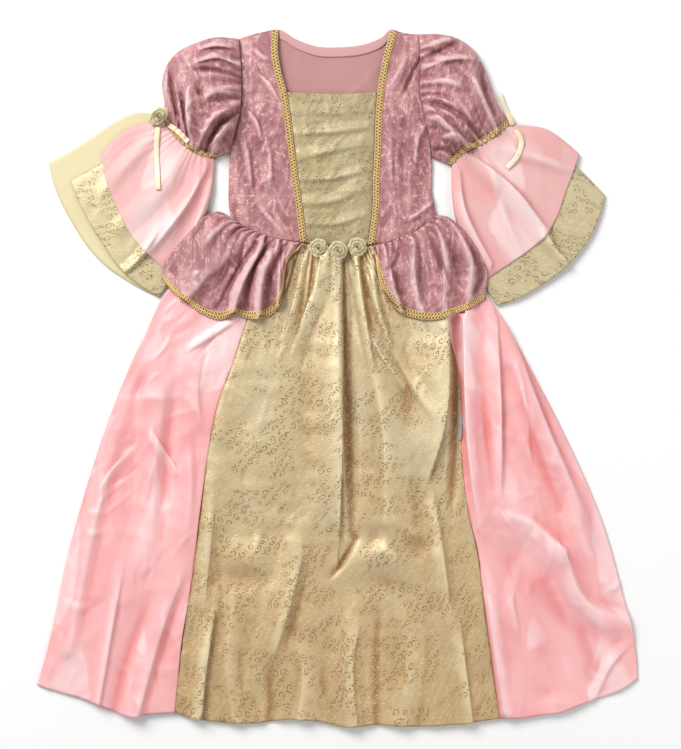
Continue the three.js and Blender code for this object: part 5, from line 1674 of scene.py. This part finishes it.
class DRESS_OT_ribbons(bpy.types.Operator):
    """Makes the ribbon tails at the cuffs and the blank label in the side seam"""

    bl_idname = "dress.ribbons"
    bl_label = "Make ribbons"

    def execute(self, context):
        for name, line in RIBBONS.items():
            side = "right" if "right" in name else "left"
            beneath = [f"sleeve_{side}_front", f"sleeve_{side}_braid",
                       f"flounce_gold_{side}_front", f"flounce_pink_{side}_front",
                       f"flounce_gold_{side}_back"]
            self.tail(f"{name}_tail", name, line, width=7, beneath=beneath, slot="ribbon",
                      material="Cream ribbon", sway=0.5)
        self.tail("seam_label_tape", "seam_label", LABEL_LINE, width=5,
                  beneath=["skirt_front", "skirt_side_left"], slot="label",
                  material="Label tape", sway=0.2)
        return {"FINISHED"}

    def tail(self, name, node, line, width, beneath, slot, material, sway):
        """A tape along a line that lies loosely on what is beneath it."""
        curve = Curve(line)
        share = np.linspace(0, 1, 41)
        centre = curve.at(share)
        ahead = np.gradient(centre, axis=0)
        ahead /= np.linalg.norm(ahead, axis=1)[:, None]
        aside = np.stack([-ahead[:, 1], ahead[:, 0]], axis=-1)
        across = np.linspace(-1, 1, 7)
        flat = centre[:, None, :] + aside[:, None, :] * across[None, :, None] * width / 2
        floor = np.array([[highest(beneath, *place) for place in row] for row in flat])
        floor = np.repeat(floor.max(axis=1)[:, None], len(across), axis=1) * 0.6 + floor * 0.4
        floor = np.maximum(floor, 0.2)
        z = floor
        for _ in range(30):
            z = np.maximum(floor, blurred(z))
        z = z + 1.0 + sway * (1 + np.sin(share * 9)[:, None]) + 0.35 * (1 - across ** 2)
        mesh = blank_mesh()
        places = np.stack(np.meshgrid(across * width / 2, -share * curve.lengths[-1]),
                          axis=-1) * MM
        _, faces = add_grid(mesh, np.concatenate([flat, z[..., None]], axis=-1), places)
        face_up(mesh, faces)
        thicken(new_piece(name, mesh, [material], [node]), RIBBON)


class DRESS_OT_cuts(bpy.types.Operator):
    """A step that changes nothing in the scene"""

    bl_idname = "dress.cuts"
    bl_label = "State cuts"

    def execute(self, context):
        return {"FINISHED"}


class DRESS_OT_stage(bpy.types.Operator):
    """Makes the floor, the studio light and the camera"""

    bl_idname = "dress.stage"
    bl_label = "Make stage"

    def execute(self, context):
        scene = context.scene
        floor_half, floor_drop = 6, 0.0004
        mesh = blank_mesh()
        bmesh.ops.create_grid(mesh, x_segments=1, y_segments=1, size=floor_half)
        bmesh.ops.translate(mesh, verts=mesh.verts[:], vec=(0, 0, -floor_drop))
        data = bpy.data.meshes.new("floor")
        mesh.to_mesh(data)
        mesh.free()
        data.materials.append(bpy.data.materials["Pale floor"])
        floor = bpy.data.objects.new("floor", data)
        scene.collection.objects.link(floor)
        self.light("Window light", (-1.7, 1.9, 2.3), 1.9, 120)
        self.light("Fill light", (1.9, -0.8, 1.6), 1.6, 16)
        world = bpy.data.worlds.new("Studio")
        world.use_nodes = True
        sky = world.node_tree.nodes["Background"].inputs
        sky["Color"].default_value = (1, 1, 1, 1)
        sky["Strength"].default_value = 0.4
        scene.world = world
        scene.view_settings.view_transform = "Standard"
        data = bpy.data.cameras.new("Camera")
        data.lens = 85
        data.sensor_width = 36
        camera = bpy.data.objects.new("Camera", data)
        camera.location = (0.0034, 0.0034, 2.40)
        scene.collection.objects.link(camera)
        scene.camera = camera
        return {"FINISHED"}

    def light(self, name, place, size, power):
        """A square lamp, aimed at the middle of the dress."""
        data = bpy.data.lights.new(name, "AREA")
        data.size = size
        data.energy = power
        lamp = bpy.data.objects.new(name, data)
        lamp.location = place
        lamp.rotation_euler = (-Vector(place)).to_track_quat("-Z", "Y").to_euler()
        bpy.context.scene.collection.objects.link(lamp)


class DRESS_PT_panel(bpy.types.Panel):
    """Lists the steps of the dress with its sizes and colours"""

    bl_idname = "DRESS_PT_panel"
    bl_label = "Princess dress"
    bl_space_type = "VIEW_3D"
    bl_region_type = "UI"
    bl_category = "Dress"

    def draw(self, context):
        for operator in STEPS:
            self.layout.operator(operator.bl_idname)
        for group in (context.scene.dress_sizes, context.scene.dress_colours):
            for name in group.__annotations__:
                self.layout.prop(group, name)


STEPS = (DRESS_OT_finishes, DRESS_OT_bodice, DRESS_OT_skirt, DRESS_OT_sleeves,
         DRESS_OT_flounces, DRESS_OT_peplums, DRESS_OT_rosettes, DRESS_OT_ribbons,
         DRESS_OT_cuts, DRESS_OT_stage)
CLASSES = (DressSizes, DressColours, *STEPS, DRESS_PT_panel)


def register():
    for kind in CLASSES:
        bpy.utils.register_class(kind)
    bpy.types.Scene.dress_sizes = PointerProperty(type=DressSizes)
    bpy.types.Scene.dress_colours = PointerProperty(type=DressColours)


def unregister():
    del bpy.types.Scene.dress_colours
    del bpy.types.Scene.dress_sizes
    for kind in reversed(CLASSES):
        bpy.utils.unregister_class(kind)


def main():
    register()
    bpy.ops.dress.finishes()
    bpy.ops.dress.bodice()
    bpy.ops.dress.skirt()
    bpy.ops.dress.sleeves()
    bpy.ops.dress.flounces()
    bpy.ops.dress.peplums()
    bpy.ops.dress.rosettes()
    bpy.ops.dress.ribbons()
    bpy.ops.dress.cuts()
    bpy.ops.dress.stage()


if __name__ == "__main__":
    main()
